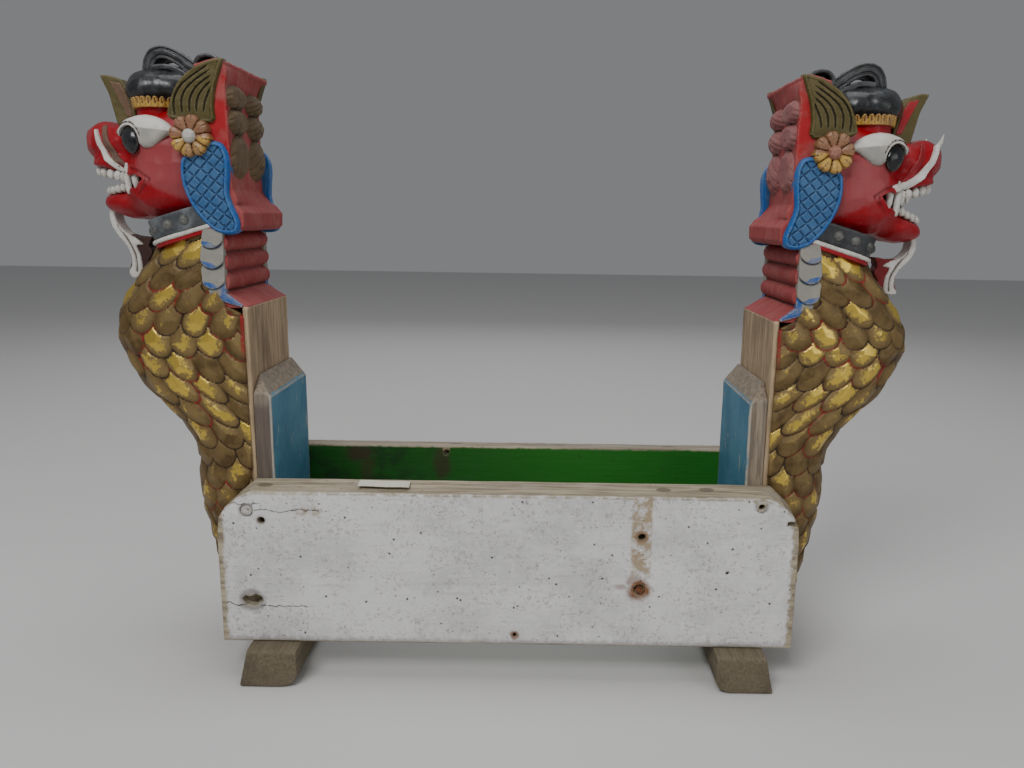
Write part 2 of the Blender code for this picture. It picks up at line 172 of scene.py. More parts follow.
def nets(field, low, high, voxel):
    """Surface nets: points and quads of the zero level of field inside a box."""
    axes = [np.arange(low[i] - 2 * voxel, high[i] + 2.5 * voxel, voxel) for i in range(3)]
    grid = (axes[0][:, None, None], axes[1][None, :, None], axes[2][None, None, :])
    values = np.array(np.broadcast_to(field(grid), tuple(len(a) for a in axes)), np.float32)
    for axis in range(3):
        edge = [slice(None)] * 3
        for end in (0, -1):
            edge[axis] = end
            values[tuple(edge)] = np.maximum(values[tuple(edge)], 0.01)
    shape = values.shape
    cells, points, quads, flips = [], [], [], []
    strides = np.array([shape[1] * shape[2], shape[2], 1])
    for axis in range(3):
        first = [slice(None)] * 3
        second = [slice(None)] * 3
        first[axis] = slice(0, -1)
        second[axis] = slice(1, None)
        f0, f1 = values[tuple(first)], values[tuple(second)]
        where = np.argwhere((f0 < 0) != (f1 < 0))
        v0 = f0[tuple(where.T)]
        v1 = f1[tuple(where.T)]
        spot = where.astype(float)
        spot[:, axis] += v0 / (v0 - v1)
        b, c = [k for k in range(3) if k != axis]
        corner = []
        for db, dc in ((0, 0), (1, 0), (1, 1), (0, 1)):
            cell = where.copy()
            cell[:, b] -= db
            cell[:, c] -= dc
            ident = cell @ strides
            corner.append(ident)
            cells.append(ident)
            points.append(spot)
        quads.append(np.stack(corner, 1))
        flips.append((v0 < 0) != (axis == 1))
    ids, inverse = np.unique(np.concatenate(cells), return_inverse=True)
    spots = np.concatenate(points)
    count = np.bincount(inverse)
    verts = np.stack([np.bincount(inverse, spots[:, k]) / count for k in range(3)], 1)
    verts = verts * voxel + np.array([a[0] for a in axes])
    faces = np.searchsorted(ids, np.concatenate(quads))
    turn = ~np.concatenate(flips)
    faces[turn] = faces[turn][:, ::-1]
    return settle(field, verts, voxel), faces


def settle(field, verts, voxel):
    """Moves net points onto the field's zero level."""
    for _ in range(2):
        x, y, z = verts.T
        here = field((x, y, z))
        h = 0.25 * voxel
        slope = np.stack([(field((x + h, y, z)) - here) / h, (field((x, y + h, z)) - here) / h,
                          (field((x, y, z + h)) - here) / h], 1)
        size = np.maximum((slope ** 2).sum(1), 0.2)
        step = np.clip(here / size, -0.4 * voxel, 0.4 * voxel)
        verts = verts - slope * step[:, None] * 0.8
    return verts


def vertex_normals(verts, faces):
    a, b, c, d = (verts[faces[:, k]] for k in range(4))
    face_normal = np.cross(c - a, d - b)
    normals = np.zeros_like(verts)
    for k in range(4):
        for axis in range(3):
            normals[:, axis] += np.bincount(faces[:, k], face_normal[:, axis], len(verts))
    return normals / np.maximum(np.linalg.norm(normals, axis=1, keepdims=True), 1e-9)


def spread(values, faces, count, rounds):
    """Averages a value over neighbouring points."""
    for _ in range(rounds):
        total = np.zeros(count)
        share = np.zeros(count)
        for k in range(4):
            for other in (1, 3):
                total += np.bincount(faces[:, k], values[faces[:, (k + other) % 4]], count)
                share += np.bincount(faces[:, k], minlength=count)
        values = 0.4 * values + 0.6 * total / np.maximum(share, 1)
    return values


def crease(verts, faces, normals):
    """Positive in hollows and negative on ridges, about -1 to 1."""
    total = np.zeros(len(verts))
    share = np.zeros(len(verts))
    for k in range(4):
        here, there = faces[:, k], faces[:, (k + 1) % 4]
        for i, j in ((here, there), (there, here)):
            step = verts[j] - verts[i]
            bend = (step * normals[i]).sum(1) / np.maximum((step ** 2).sum(1), 1e-9)
            total += np.bincount(i, bend, len(verts))
            share += np.bincount(i, minlength=len(verts))
    curve = total / np.maximum(share, 1)
    return np.clip(spread(curve * 3.0, faces, len(verts), 2), -1.0, 1.0)


def lattice_random(cells, seed):
    """Repeatable random numbers from 0 to 1 for whole-number cells."""
    value = np.zeros(cells.shape[:-1])
    for k in range(cells.shape[-1]):
        value = value + cells[..., k] * (12.9898, 78.233, 37.719)[k % 3]
    return np.modf(np.abs(np.sin(value + seed * 4.13) * 43758.5453))[0]


def soft_noise(points, size, seed):
    """Smooth random height from -1 to 1."""
    q = points / size
    base = np.floor(q)
    part = q - base
    part = part * part * (3 - 2 * part)
    total = np.zeros(len(points))
    for dx in (0, 1):
        for dy in (0, 1):
            for dz in (0, 1):
                step = np.array([dx, dy, dz])
                weight = np.prod(np.where(step, part, 1 - part), axis=1)
                total += weight * lattice_random(base + step, seed)
    return total * 2 - 1


def gouges(points, size, seed):
    """Depth from 0 to 1 of shallow tool cuts that meet in ridges."""
    q = points / size
    base = np.floor(q)
    best = np.full(len(points), 9.0)
    for dx in (-1, 0, 1):
        for dy in (-1, 0, 1):
            for dz in (-1, 0, 1):
                cell = base + np.array([dx, dy, dz])
                centre = cell + 0.5 + 0.4 * (np.stack([lattice_random(cell, seed + k)
                                                        for k in range(3)], -1) - 0.5)
                best = np.minimum(best, ((q - centre) ** 2).sum(1))
    return 1.0 - np.clip(best / 0.6, 0.0, 1.0)


def make_object(name, verts, faces, material, values=None, cap_rings=()):
    """Mesh object in metres, smooth shaded, with float values on its points."""
    mesh = bpy.data.meshes.new(name)
    polys = [tuple(int(i) for i in f) for f in faces] + [tuple(int(i) for i in c) for c in cap_rings]
    mesh.from_pydata((verts * MM).tolist(), [], polys)
    mesh.validate()
    mesh.polygons.foreach_set("use_smooth", [True] * len(mesh.polygons))
    for key, data in (values or {}).items():
        layer = mesh.attributes.new(key, "FLOAT", "POINT")
        layer.data.foreach_set("value", np.asarray(data, np.float32))
    mesh.materials.append(material)
    obj = bpy.data.objects.new(name, mesh)
    bpy.context.scene.collection.objects.link(obj)
    return obj


def carve(field, low, high, voxel, rough=0.0, rough_size=9.0, cut=0.0, cut_size=12.0, seed=1):
    """Mesh data of a field, with hand-worked unevenness: soft waves and tool cuts."""
    verts, faces = nets(field, low, high, voxel * FINE)
    normals = vertex_normals(verts, faces)
    shift = np.zeros(len(verts))
    if rough:
        shift += rough * soft_noise(verts, rough_size, seed)
    if cut:
        shift -= cut * gouges(verts, cut_size, seed)
    verts = verts + normals * shift[:, None]
    normals = vertex_normals(verts, faces)
    return verts, faces, crease(verts, faces, normals)


def on_side(verts, faces, side):
    """Turns (out, y, z) data into row-frame data on one side."""
    placed = verts.copy()
    placed[:, 0] *= side
    return placed, faces[:, ::-1] if side < 0 else faces


# ---------------- materials

class Paint:
    """A material and short calls that add the nodes it needs."""

    def __init__(self, name):
        self.material = bpy.data.materials.new(name)
        self.material.use_nodes = True
        self.tree = self.material.node_tree
        self.shader = self.tree.nodes["Principled BSDF"]
        self.coords = self.add("ShaderNodeTexCoord").outputs["Object"]

    def add(self, kind, **settings):
        node = self.tree.nodes.new(kind)
        for key, value in settings.items():
            setattr(node, key, value)
        return node

    def put(self, socket, value):
        if isinstance(value, bpy.types.NodeSocket):
            self.tree.links.new(value, socket)
        elif isinstance(value, tuple) and len(value) == 3 and socket.type == "RGBA":
            socket.default_value = (*value, 1.0)
        else:
            socket.default_value = value

    def place(self, stretch=(1, 1, 1)):
        mapping = self.add("ShaderNodeMapping")
        self.put(mapping.inputs["Vector"], self.coords)
        mapping.inputs["Scale"].default_value = stretch
        return mapping.outputs["Vector"]

    def noise(self, size_mm, detail=3.0, rough=0.55, stretch=(1, 1, 1), distortion=0.0):
        node = self.add("ShaderNodeTexNoise")
        self.put(node.inputs["Vector"], self.place(stretch))
        node.inputs["Scale"].default_value = 1000.0 / size_mm
        node.inputs["Detail"].default_value = detail
        node.inputs["Roughness"].default_value = rough
        node.inputs["Distortion"].default_value = distortion
        return node.outputs["Fac"]

    def cells(self, size_mm):
        """Distance from the nearest of a scatter of points."""
        node = self.add("ShaderNodeTexVoronoi")
        self.put(node.inputs["Vector"], self.place())
        node.inputs["Scale"].default_value = 1000.0 / size_mm
        return node.outputs["Distance"]

    def value(self, name):
        node = self.add("ShaderNodeAttribute", attribute_name=name)
        return node.outputs["Fac"]

    def axis(self, letter):
        node = self.add("ShaderNodeSeparateXYZ")
        self.put(node.inputs[0], self.coords)
        return node.outputs[letter]

    def calc(self, operation, a, b=0.0):
        node = self.add("ShaderNodeMath", operation=operation)
        for socket, value in zip(node.inputs, (a, b, 0.0)):
            self.put(socket, value)
        return node.outputs[0]

    def times(self, a, b):
        return self.calc("MULTIPLY", a, b)

    def plus(self, a, b):
        return self.calc("ADD", a, b)

    def minus(self, a, b):
        return self.calc("SUBTRACT", a, b)

    def span(self, value, low, high):
        """Smooth step from 0 to 1 as value goes from low to high."""
        node = self.add("ShaderNodeMapRange", interpolation_type="SMOOTHSTEP")
        for socket, number in zip(node.inputs, (value, low, high)):
            self.put(socket, number)
        return node.outputs[0]

    def mix(self, factor, a, b):
        """Colour a where factor is 0 and b where it is 1."""
        node = self.add("ShaderNodeMix", data_type="RGBA")
        self.put(node.inputs[0], factor)
        self.put(node.inputs[6], a)
        self.put(node.inputs[7], b)
        return node.outputs[2]

    def both(self, *factors):
        total = factors[0]
        for factor in factors[1:]:
            total = self.times(total, factor)
        return total

    def either(self, *factors):
        total = factors[0]
        for factor in factors[1:]:
            total = self.calc("MAXIMUM", total, factor)
        return total

    def spot(self, x, z, radius, soft, wobble=0.0, stretch_z=1.0):
        """1 near a place on the board faces (x, z in mm), fading over soft mm."""
        dx = self.minus(self.axis("X"), x * MM)
        dz = self.times(self.minus(self.axis("Z"), z * MM), 1.0 / stretch_z)
        reach = self.calc("SQRT", self.plus(self.times(dx, dx),
                                            self.times(dz, dz)))
        if wobble:
            bend = self.times(self.minus(self.noise(8.0), 0.5), wobble * MM)
            reach = self.plus(reach, bend)
        return self.span(reach, (radius + soft) * MM, radius * MM)

    def oval(self, x, y, half_x, half_y):
        """1 inside an oval on the top edge of a board (mm)."""
        dx = self.times(self.minus(self.axis("X"), x * MM), 1.0 / half_x)
        dy = self.times(self.minus(self.axis("Y"), y * MM), 1.0 / half_y)
        reach = self.calc("SQRT", self.plus(self.times(dx, dx),
                                            self.times(dy, dy)))
        return self.span(reach, 1.1 * MM, 0.8 * MM)

    def bump(self, height, depth_mm):
        node = self.add("ShaderNodeBump")
        node.inputs["Strength"].default_value = 1.0
        node.inputs["Distance"].default_value = depth_mm * MM
        self.put(node.inputs["Height"], height)
        return node.outputs["Normal"]

    def finish(self, color, rough, normal=None, metallic=0.0, coat=0.0, coat_rough=0.15, specular=0.5):
        self.put(self.shader.inputs["Base Color"], color)
        self.put(self.shader.inputs["Roughness"], rough)
        self.put(self.shader.inputs["Metallic"], metallic)
        self.shader.inputs["Coat Weight"].default_value = coat
        self.shader.inputs["Coat Roughness"].default_value = coat_rough
        self.shader.inputs["Specular IOR Level"].default_value = specular
        if normal is not None:
            self.put(self.shader.inputs["Normal"], normal)
        return self.material


def carved_paint(name, color, worn, hollow_shade_and_dirt, rough=0.45, coat=0.0, fade=0.5, grain=0.25, second=None,
                 specular=0.3):
    """Paint on carved wood: uneven tone, rubbed ridges, painted shade in the hollows with dirt specks;
    second where tint is 1.
    """
    p = Paint(name)
    hollow = p.value("crease")
    tone = p.noise(22, 4, 0.6)
    fine = p.noise(2.4, 4, 0.7)
    streak = p.noise(5.0, 3.0, 0.6, (1, 1, 0.25))
    if second:
        wobble = p.times(p.minus(p.noise(6, 4, 0.65), 0.5), 0.5)
        color = p.mix(p.span(p.plus(p.value("tint"), wobble), 0.3, 0.7), color, second)
    faded = p.mix(p.both(p.span(tone, 0.42, 0.68), fade), color, worn)
    ridge = p.both(p.span(hollow, -0.1, -0.5), p.span(fine, 0.4, 0.6))
    rubbed = p.mix(ridge, faded, worn)
    scratch = p.both(p.span(streak, 0.63, 0.7), 0.55)
    rubbed = p.mix(scratch, rubbed, worn)
    # Painted shade: darker in the hollows by the crease value, plus random dirt specks.
    hole = p.either(p.span(hollow, 0.1, 0.5), p.both(p.span(fine, 0.62, 0.76), 0.5))
    shaded_and_specked = p.mix(p.both(hole, 0.9), rubbed, hollow_shade_and_dirt)
    gloss = p.plus(rough, p.times(tone, 0.22))
    relief_height = p.plus(p.times(fine, 0.5), streak)
    return p.finish(shaded_and_specked, gloss, p.bump(relief_height, grain), coat=coat, coat_rough=0.2,
                    specular=specular)


def gold_scales():
    """Bronze paint with gold leaf on some scales; between them near-black painted shade and red paint."""
    p = Paint("gold_scales")
    gap = p.value("gap")
    leaf = p.value("leaf")
    tone = p.noise(16, 4, 0.6)
    fine = p.noise(1.6, 3, 0.7)
    flake = p.noise(5, 5, 0.7)
    bronze = p.mix(p.span(tone, 0.35, 0.65), (0.085, 0.05, 0.016), (0.165, 0.108, 0.04))
    pale = p.mix(p.both(p.span(p.plus(leaf, p.times(fine, 0.3)), 0.35, 0.85), 0.75),
                 bronze, (0.235, 0.162, 0.062))
    leafed = p.span(p.plus(leaf, p.times(flake, 1.5)), 1.42, 1.68)
    gilt = p.mix(leafed, pale, (0.66, 0.47, 0.09))
    red_share = p.span(p.plus(p.noise(38, 3, 0.6), p.times(flake, 0.35)), 0.66, 0.8)
    corner = p.span(p.calc("ABSOLUTE", p.axis("X")), 0.2665, 0.264)
    high = p.span(p.axis("Z"), 0.3, 0.345)
    red_share = p.either(red_share, p.both(corner, high))
    # Painted shade: near black in the gaps between scales; red paint where red_share is 1.
    groove = p.mix(red_share, (0.022, 0.012, 0.006), (0.26, 0.012, 0.012))
    gap_shade_and_red = p.either(p.span(gap, 0.3, 0.85), p.both(corner, high, p.span(flake, 0.35, 0.55)))
    color = p.mix(gap_shade_and_red, gilt, groove)
    metal = p.times(p.plus(0.3, p.times(leafed, 0.55)),
                   p.minus(1.0, gap_shade_and_red))
    rough = p.minus(p.plus(0.44, p.times(fine, 0.12)),
                   p.times(leafed, 0.14))
    normal = p.bump(p.plus(p.times(fine, 0.25), p.times(flake, 0.5)), 0.4)
    return p.finish(color, rough, normal, metallic=metal, specular=0.35)


def bare_wood(name, light, dark, along="Z", rough=0.85):
    """Weathered wood with grain running along one axis."""
    p = Paint(name)
    stretch = {"X": (0.05, 1, 1), "Y": (1, 0.05, 1), "Z": (1, 1, 0.05)}[along]
    grain = p.noise(3.0, 5.0, 0.65, stretch, 0.4)
    broad = p.noise(30.0, 3.0, 0.6, tuple(1.0 if s == 1.0 else 0.35 for s in stretch))
    fine = p.noise(1.1, 3.0, 0.7, stretch)
    hollow = p.value("crease")
    base = p.mix(p.span(grain, 0.35, 0.68), dark, light)
    base = p.mix(p.both(p.span(broad, 0.45, 0.75), 0.55), base, tuple(0.45 * c for c in dark))
    base = p.mix(p.both(p.span(fine, 0.6, 0.75), 0.5), base, tuple(min(1.0, 1.3 * c) for c in light))
    # Painted shade: darker in the hollows.
    base = p.mix(p.both(p.span(hollow, 0.15, 0.6), 0.8), base, tuple(0.3 * c for c in dark))
    base = p.mix(p.both(p.span(hollow, -0.15, -0.6), 0.5), base, tuple(min(1.0, 1.35 * c) for c in light))
    height = p.plus(p.times(fine, 0.4), grain)
    return p.finish(base, rough, p.bump(height, 0.9))


def black_gloss(name, shine, dark):
    """Black enamel over uneven wood, rubbed grey on the ridges."""
    p = Paint(name)
    hollow = p.value("crease")
    tone = p.noise(16, 3, 0.6)
    fine = p.noise(2.5, 4, 0.7)
    light = (2.4 * dark + 0.006, 2.6 * dark + 0.007, 2.8 * dark + 0.009)
    base = p.mix(p.span(tone, 0.4, 0.7), (0.9 * dark, dark, 1.1 * dark), light)
    edge = p.both(p.span(hollow, -0.12, -0.5), p.span(fine, 0.42, 0.62))
    base = p.mix(p.both(edge, 0.6), base, (0.11, 0.1, 0.09))
    rough = p.plus(shine, p.times(p.span(fine, 0.3, 0.8), 0.25))
    return p.finish(base, rough, p.bump(p.plus(tone, p.times(fine, 0.15)), 0.5))


# ---------------- dragon: body

BELLY = [(40.5, 285), (52, 298), (75, 306), (104, 312), (135, 320),
         (160, 325), (190, 328), (212, 327), (238, 333), (258, 346),
         (277, 364), (300, 384), (326, 397), (350, 401), (370, 396),
         (392, 383), (411, 368), (436, 351), (452, 338), (470, 322)]
SCALE_WIDE = 26.5
SCALE_PITCH = 22.5
SCALE_RISE = 6.0


def belly_out(z):
    line = np.array(rounded(BELLY, 6, closed=False))
    return np.interp(z, line[:, 0], line[:, 1])


def scale_field(arc, z):
    """Height, gap and leaf of overlapping scales at places on the unrolled body."""
    height = np.full(arc.shape, 0.2)
    gap = np.ones(arc.shape)
    leaf = np.zeros(arc.shape)
    row0 = np.round(z / SCALE_PITCH)
    for dr in (-2, -1, 0, 1, 2):
        row = row0 + dr
        offset = 0.5 * np.mod(row, 2)
        col0 = np.round(arc / SCALE_WIDE - offset)
        nearest = np.full(arc.shape, 1.0)
        for dc in (-1, 0, 1):
            col = col0 + dc
            cell = np.stack([row, col, row * 0.0], -1)
            r1, r2, r3, r4 = (lattice_random(cell, seed) for seed in (1, 2, 3, 4))
            across = arc - (col + offset + 0.16 * (r1 - 0.5)) * SCALE_WIDE
            down = (row + 0.2 * (r2 - 0.5)) * SCALE_PITCH - z
            size = 0.95 + 0.12 * r3
            p = across / (0.545 * SCALE_WIDE * size)
            q = down / (0.74 * SCALE_PITCH * size)
            q = np.where(q < 0, 0.62 * q, q)
            reach = np.sqrt(p * p + q * q)
            dome = 1.0 - reach ** 3.2 + 0.25 * q
            tone = np.zeros(arc.shape)
            for k in range(3):
                angle = (k + 0.45 * lattice_random(cell, 10 + k)) * 2.0 * math.pi / 3 + 6.28 * r4
                lean = 0.55 + 0.25 * lattice_random(cell, 30 + k)
                plane = 0.86 - lean * (np.cos(angle) * p + np.sin(angle) * q) + 0.15 * q
                tone = np.where(plane < dome, 0.4 * lattice_random(cell, 40 + k), tone)
                dome = np.minimum(dome, plane)
            win = reach < nearest
            nearest = np.where(win, reach, nearest)
            height = np.where(win, 0.5 + SCALE_RISE * np.maximum(dome, 0.0), height)
            gap = np.where(win, np.clip((reach - 0.8) / 0.2, 0, 1), gap)
            bright = lattice_random(cell, 5) ** 1.6 + tone
            leaf = np.where(win, bright * np.clip(1.3 - reach, 0, 1), leaf)
    return height, gap, leaf


def body_data():
    """Swept grid of the belly with scales: points, quads and end caps."""
    rows = int(330 / FINE)
    half = int(144 / FINE)
    heights = np.linspace(40.5, 468.0, rows)
    reach = belly_out(heights)
    inner = np.interp(heights, (40, 364, 374, 392, 468), (260, 262, 278, 288, 292))
    depth = np.interp(heights, (40, 395, 440, 468), (62.5, 62.5, 58, 52))
    turn = np.linspace(0, math.pi / 2, 220)
    ring_points = np.zeros((rows, 2 * half + 1, 3))
    arcs = np.zeros((rows, 2 * half + 1))
    for i in range(rows):
        bow = min(reach[i] - inner[i] - 1.0, 62.0)
        shape = 2.0 / 2.7
        out = reach[i] - bow + bow * np.cos(turn) ** shape
        across = depth[i] * np.sin(turn) ** shape
        out = np.append(out, inner[i])
        across = np.append(across, depth[i])
        run = np.append(0.0, np.cumsum(np.hypot(np.diff(out), np.diff(across))))
        steps = np.linspace(0, run[-1], half + 1)
        o, y = np.interp(steps, run, out), np.interp(steps, run, across)
        ring_points[i, half:, 0], ring_points[i, half:, 1] = o, y
        ring_points[i, half::-1, 0], ring_points[i, half::-1, 1] = o, -y
        ring_points[i, :, 2] = heights[i]
        arcs[i, half:] = steps
        arcs[i, half::-1] = -steps
    height, gap, leaf = scale_field(arcs, ring_points[..., 2])
    along = np.gradient(ring_points, axis=1)
    up = np.gradient(ring_points, axis=0)
    normal = np.cross(along, up)
    normal /= np.maximum(np.linalg.norm(normal, axis=-1, keepdims=True), 1e-9)
    verts = (ring_points + normal * (height - 1.0)[..., None]).reshape(-1, 3)
    wide = 2 * half + 1
    first = np.arange(rows - 1)[:, None] * wide + np.arange(wide)[None, :]
    right = np.where(np.arange(wide)[None, :] == wide - 1, first - wide + 1, first + 1)
    quads = np.stack([first, right, right + wide, first + wide], -1).reshape(-1, 4)
    caps = (np.arange(wide)[::-1], np.arange(wide) + (rows - 1) * wide)
    values = {"gap": gap.ravel(), "leaf": leaf.ravel()}
    return verts, quads, caps, values


# ---------------- dragon: mane and neck

MANE_OUTLINE = [(257, 372), (257, 374), (279, 388.5), (281, 445), (262, 446.5),
                (256.8, 451), (256.8, 464), (263, 472), (270.5, 486), (271.5, 505),
                (271.5, 530), (272, 560), (272.5, 580), (266.5, 602), (275, 605),
                (296, 599), (312, 584), (319, 562), (313, 540), (303, 520),
                (303, 446), (298, 440), (298, 395), (290, 381), (276, 372)]
NECK_ROLLS = ((397.5, 283.5), (416.5, 284), (435.5, 284))
CURL_ROWS = ((572, 11.5), (549.5, 13), (517, 23))


def skewed(p):
    """The mane's back is cut a little out of square, nearer the middle of the stand in front."""
    o, y, z = p
    return o - 5.0 * (y / 62.0) * ease((z - 472.0) / 14.0) * ease((598.0 - z) / 14.0), y, z


def mane_field(p):
    o, y, z = skewed(p)
    side = np.abs(y)
    body = slab(polygon(o, z, MANE_OUTLINE), side - 62.6, 2.2)
    rolls = [slab(np.hypot((o - out) * 0.95, z - height) - 9.6, side - 63.0, 3.0)
             for height, out in NECK_ROLLS]
    return union([body, *rolls])


def mane_tint(o, y, z):
    """1 on the bright strip between the ear and the tufts."""
    return ease((np.abs(y) - 58.0) / 3.0) * ease((z - 500.0) / 12.0) * ease((590.0 - z) / 8.0)


def curls_field(p):
    """Two columns of three leafy tufts on the back of the mane, each with a few curved cuts."""
    o, y, z = skewed(p)
    lumps = []
    for height, tall in CURL_ROWS:
        for across in (-31, 32):
            lean = 0.16 * (z - height)
            middle = (y - across - lean) / 32.0
            lump = ellipsoid((o, y - lean, z), (281.0, across, height), (18.5, 34.0, tall + 2.5))
            v = (z - height) / tall
            lump = lump + 1.5 * np.clip(1.0 - np.abs(middle - 0.28 * np.sin(3.0 * v)) * 13.0, 0.0, 1.0)
            for start in (-0.75, -0.25, 0.25, 0.75):
                cut = np.abs(v - start + 0.9 * np.abs(middle)) * tall
                lump = lump + 0.9 * np.clip(1.0 - cut / 1.5, 0.0, 1.0)
            lumps.append(lump)
    tufts = union(lumps)
    return np.maximum(tufts, np.abs(y) - 61.8)


FEATHERS = [(277, 449), (296, 450), (299.5, 428), (300.5, 409), (298.5, 394), (290, 381.5),
            (262, 373), (262, 376), (277, 387)]
FEATHER_ROWS = (446.5, 427, 407.5)


def feather_gap(o, z, height):
    """2-D distance to one crescent; its lower edge sags towards the inside."""
    return (np.hypot((o - 287.5 + 0.1 * (z - height)) / 13.5, (z - height) / 16.5) - 1.0) * 14.5


def feathers_field(p):
    """Overlapping crescents down the side of the neck, the last one drawn out to a tip."""
    o, y, z = p
    side = np.abs(y)
    strip = polygon(o, z, FEATHERS)
    fall = 0.9 * np.clip((strip + 5.0) / 5.0, 0.0, 1.0)
    layers = [slab(np.maximum(strip, z - 399.0), side - 65.4 + fall, 1.0)]
    for height in FEATHER_ROWS:
        plate = np.maximum(strip, feather_gap(o, z, height))
        lift = 64.2 + 3.4 * np.clip((height + 6.0 - z) / 19.0, 0.0, 1.0)
        layers.append(slab(plate, side - lift, 1.1))
    solid = union(layers)
    return np.maximum(solid, 57.0 - side)


def feather_tint(o, y, z):
    """1 on the blue lower edge of each crescent and on the tip, 0 on the grey middle."""
    edge = -polygon(o, z, FEATHERS)
    edge = edge + 30.0 * (z > 387.0)
    owned = np.zeros(o.shape, bool)
    for height in FEATHER_ROWS:
        inside = -feather_gap(o, z, height) + 9.0 * ease((z - height + 10.0) / 14.0)
        inside = inside + 5.0 * ease((287.0 - o) / 10.0)
        mine = (feather_gap(o, z, height) < 0.4) & ~owned
        edge = np.where(mine, inside, edge)
        owned |= mine
    tail = np.where(owned, 0.0, ease((284.0 - o) / 14.0))
    return np.maximum(ease((5.5 - edge) / 4.0), tail)


# ---------------- dragon: collar

COLLAR_MIDDLE = (326, 453)
COLLAR_TILT = math.radians(-17.0)


def collar_frame(p):
    """Distance along the tilted collar from its middle, and above its mid plane."""
    o, _, z = p
    along = (o - COLLAR_MIDDLE[0]) * math.cos(COLLAR_TILT) + (z - COLLAR_MIDDLE[1]) * math.sin(COLLAR_TILT)
    above = -(o - COLLAR_MIDDLE[0]) * math.sin(COLLAR_TILT) + (z - COLLAR_MIDDLE[1]) * math.cos(COLLAR_TILT)
    return along, above


def neck_section(p, grow):
    """Rounded box around the neck, square to the collar's tilt."""
    along, above = collar_frame(p)
    u = np.maximum(along - (27.0 + grow) + 26.0, 0.0)
    v = np.maximum(np.abs(p[1]) - (61.0 + grow) + 26.0, 0.0)
    return np.hypot(u, v) - 26.0, above


def collar_field(p):
    ring, above = neck_section(p, 3.0)
    return slab(ring, np.abs(above) - 10.0, 1.2)


def collar_rim_field(p):
    ring, above = neck_section(p, 5.2)
    return slab(ring, np.abs(above + 12.0) - 2.2, 2.0)


def collar_edge_field(p):
    ring, above = neck_section(p, 3.6)
    return slab(ring, np.abs(above + 15.5) - 2.2, 1.0)


def studs_field(p):
    """Domed studs round the collar, each in a ring."""
    parts = []
    for along, across in ((-13, 61.6), (4, 61.2), (19, 55.2), (27.5, 41.5), (30.3, 20), (30.3, 0)):
        out = COLLAR_MIDDLE[0] + along * math.cos(COLLAR_TILT)
        z = COLLAR_MIDDLE[1] + along * math.sin(COLLAR_TILT)
        reach = np.sqrt((p[0] - out) ** 2 + (np.abs(p[1]) - across) ** 2 + (p[2] - z) ** 2)
        parts.append(np.minimum(reach - 2.6, np.abs(reach - 4.6) - 0.9))
    return union(parts)


# ---------------- dragon: head

MOUTH = [(445, 511), (420, 508), (401, 504.5), (385, 501), (366, 496.5), (356, 493.5),
         (366, 488), (376, 484), (396, 480.5), (412, 480), (445, 478)]


def head_field(p):
    o, y, z = p
    q = (o, np.abs(y), z)
    parts = [ellipsoid(q, (335, 0, 519), (50, 57, 53)),
             ellipsoid(q, (337, 24, 492), (46, 37, 37)),
             ellipsoid(q, (314, 26, 503), (37, 35, 47)),
             ellipsoid(q, (352, 31, 534), (29, 20, 21)),
             ellipsoid(q, (388, 0, 528), (38, 32, 22.5)),
             ellipsoid(q, (412, 0, 532), (19.5, 23, 20.5)),
             ellipsoid(q, (389, 9, 510), (32, 27, 12)),
             ellipsoid(q, (379, 0, 472.5), (35, 36, 17)),
             ellipsoid(q, (397, 0, 474), (18, 22, 9))]
    solid = parts[0]
    for part in parts[1:]:
        solid = smooth_min(solid, part, 7.0)
    mouth = polygon(o, z, MOUTH)
    solid = smooth_max(solid, -mouth, 2.0)
    nostril = stroke(o, z, rounded([(424, 539), (427, 529), (421, 520), (414, 523),
                                    (416, 530)], 4, False), [1.6] * 17)
    solid = smooth_max(solid, -np.maximum(nostril, -0.8 - solid), 2.2)
    fold = stroke(o, z, [(369, 505), (358, 501), (347, 494), (352, 488), (361, 479)],
                  [0.6, 1.4, 1.2, 1.4, 0.6])
    solid = smooth_max(solid, -np.maximum(fold, -1.2 - solid), 1.5)
    corner = polygon(o, z, [(354, 495), (366, 499), (372, 492), (364, 486)])
    return smooth_max(solid, -np.maximum(corner, 30.0 - q[1]), 1.5)


def cheek_tint(o, y, z):
    """1 where the red has faded: the upper cheek, the back by the flap, the ball of the nose."""
    above = ease((z - 478.0 - 0.4 * (o - 330.0)) / 26.0)
    cheek = above * ease((536.0 - z) / 22.0) * ease((366.0 - o) / 30.0)
    back = 0.8 * ease((332.0 - o) / 26.0) * ease((z - 470.0) / 24.0)
    nose = 0.75 * ease((o - 415.0) / 12.0)
    return np.maximum(np.maximum(cheek, back), nose)


def mouth_field(p):
    """Dark inside of the mouth, set back behind the teeth."""
    o, y, z = p
    inside = polygon(o, z, [(390, 502), (340, 494), (340, 480), (388, 476)])
    return slab(inside, np.abs(y) - 20.0, 2.0)


EYE_MIDDLE = (366, 530.5)
EYE_OUTLINE = [(382, 535), (381, 543), (375, 550), (364, 554), (352, 555), (337, 551.5),
               (325.5, 544.5), (320.5, 538), (329, 533.5), (341.5, 524.5), (350.5, 523), (357, 527)]


def on_head(p, flat, height):
    """Piece laid on the head inside a 2-D outline, standing height above it."""
    skin = head_field(p)
    return np.maximum(np.maximum(flat, skin - height), -5.0 - skin)


def pupil_gap(o, z):
    """Distance to the pupil's slanted oval."""
    lean = math.radians(17.0)
    du, dv = o - EYE_MIDDLE[0], z - EYE_MIDDLE[1]
    u = du * math.cos(lean) - dv * math.sin(lean)
    v = du * math.sin(lean) + dv * math.cos(lean)
    return (np.hypot(u / 10.2, v / 12.6) - 1.0) * 11.4


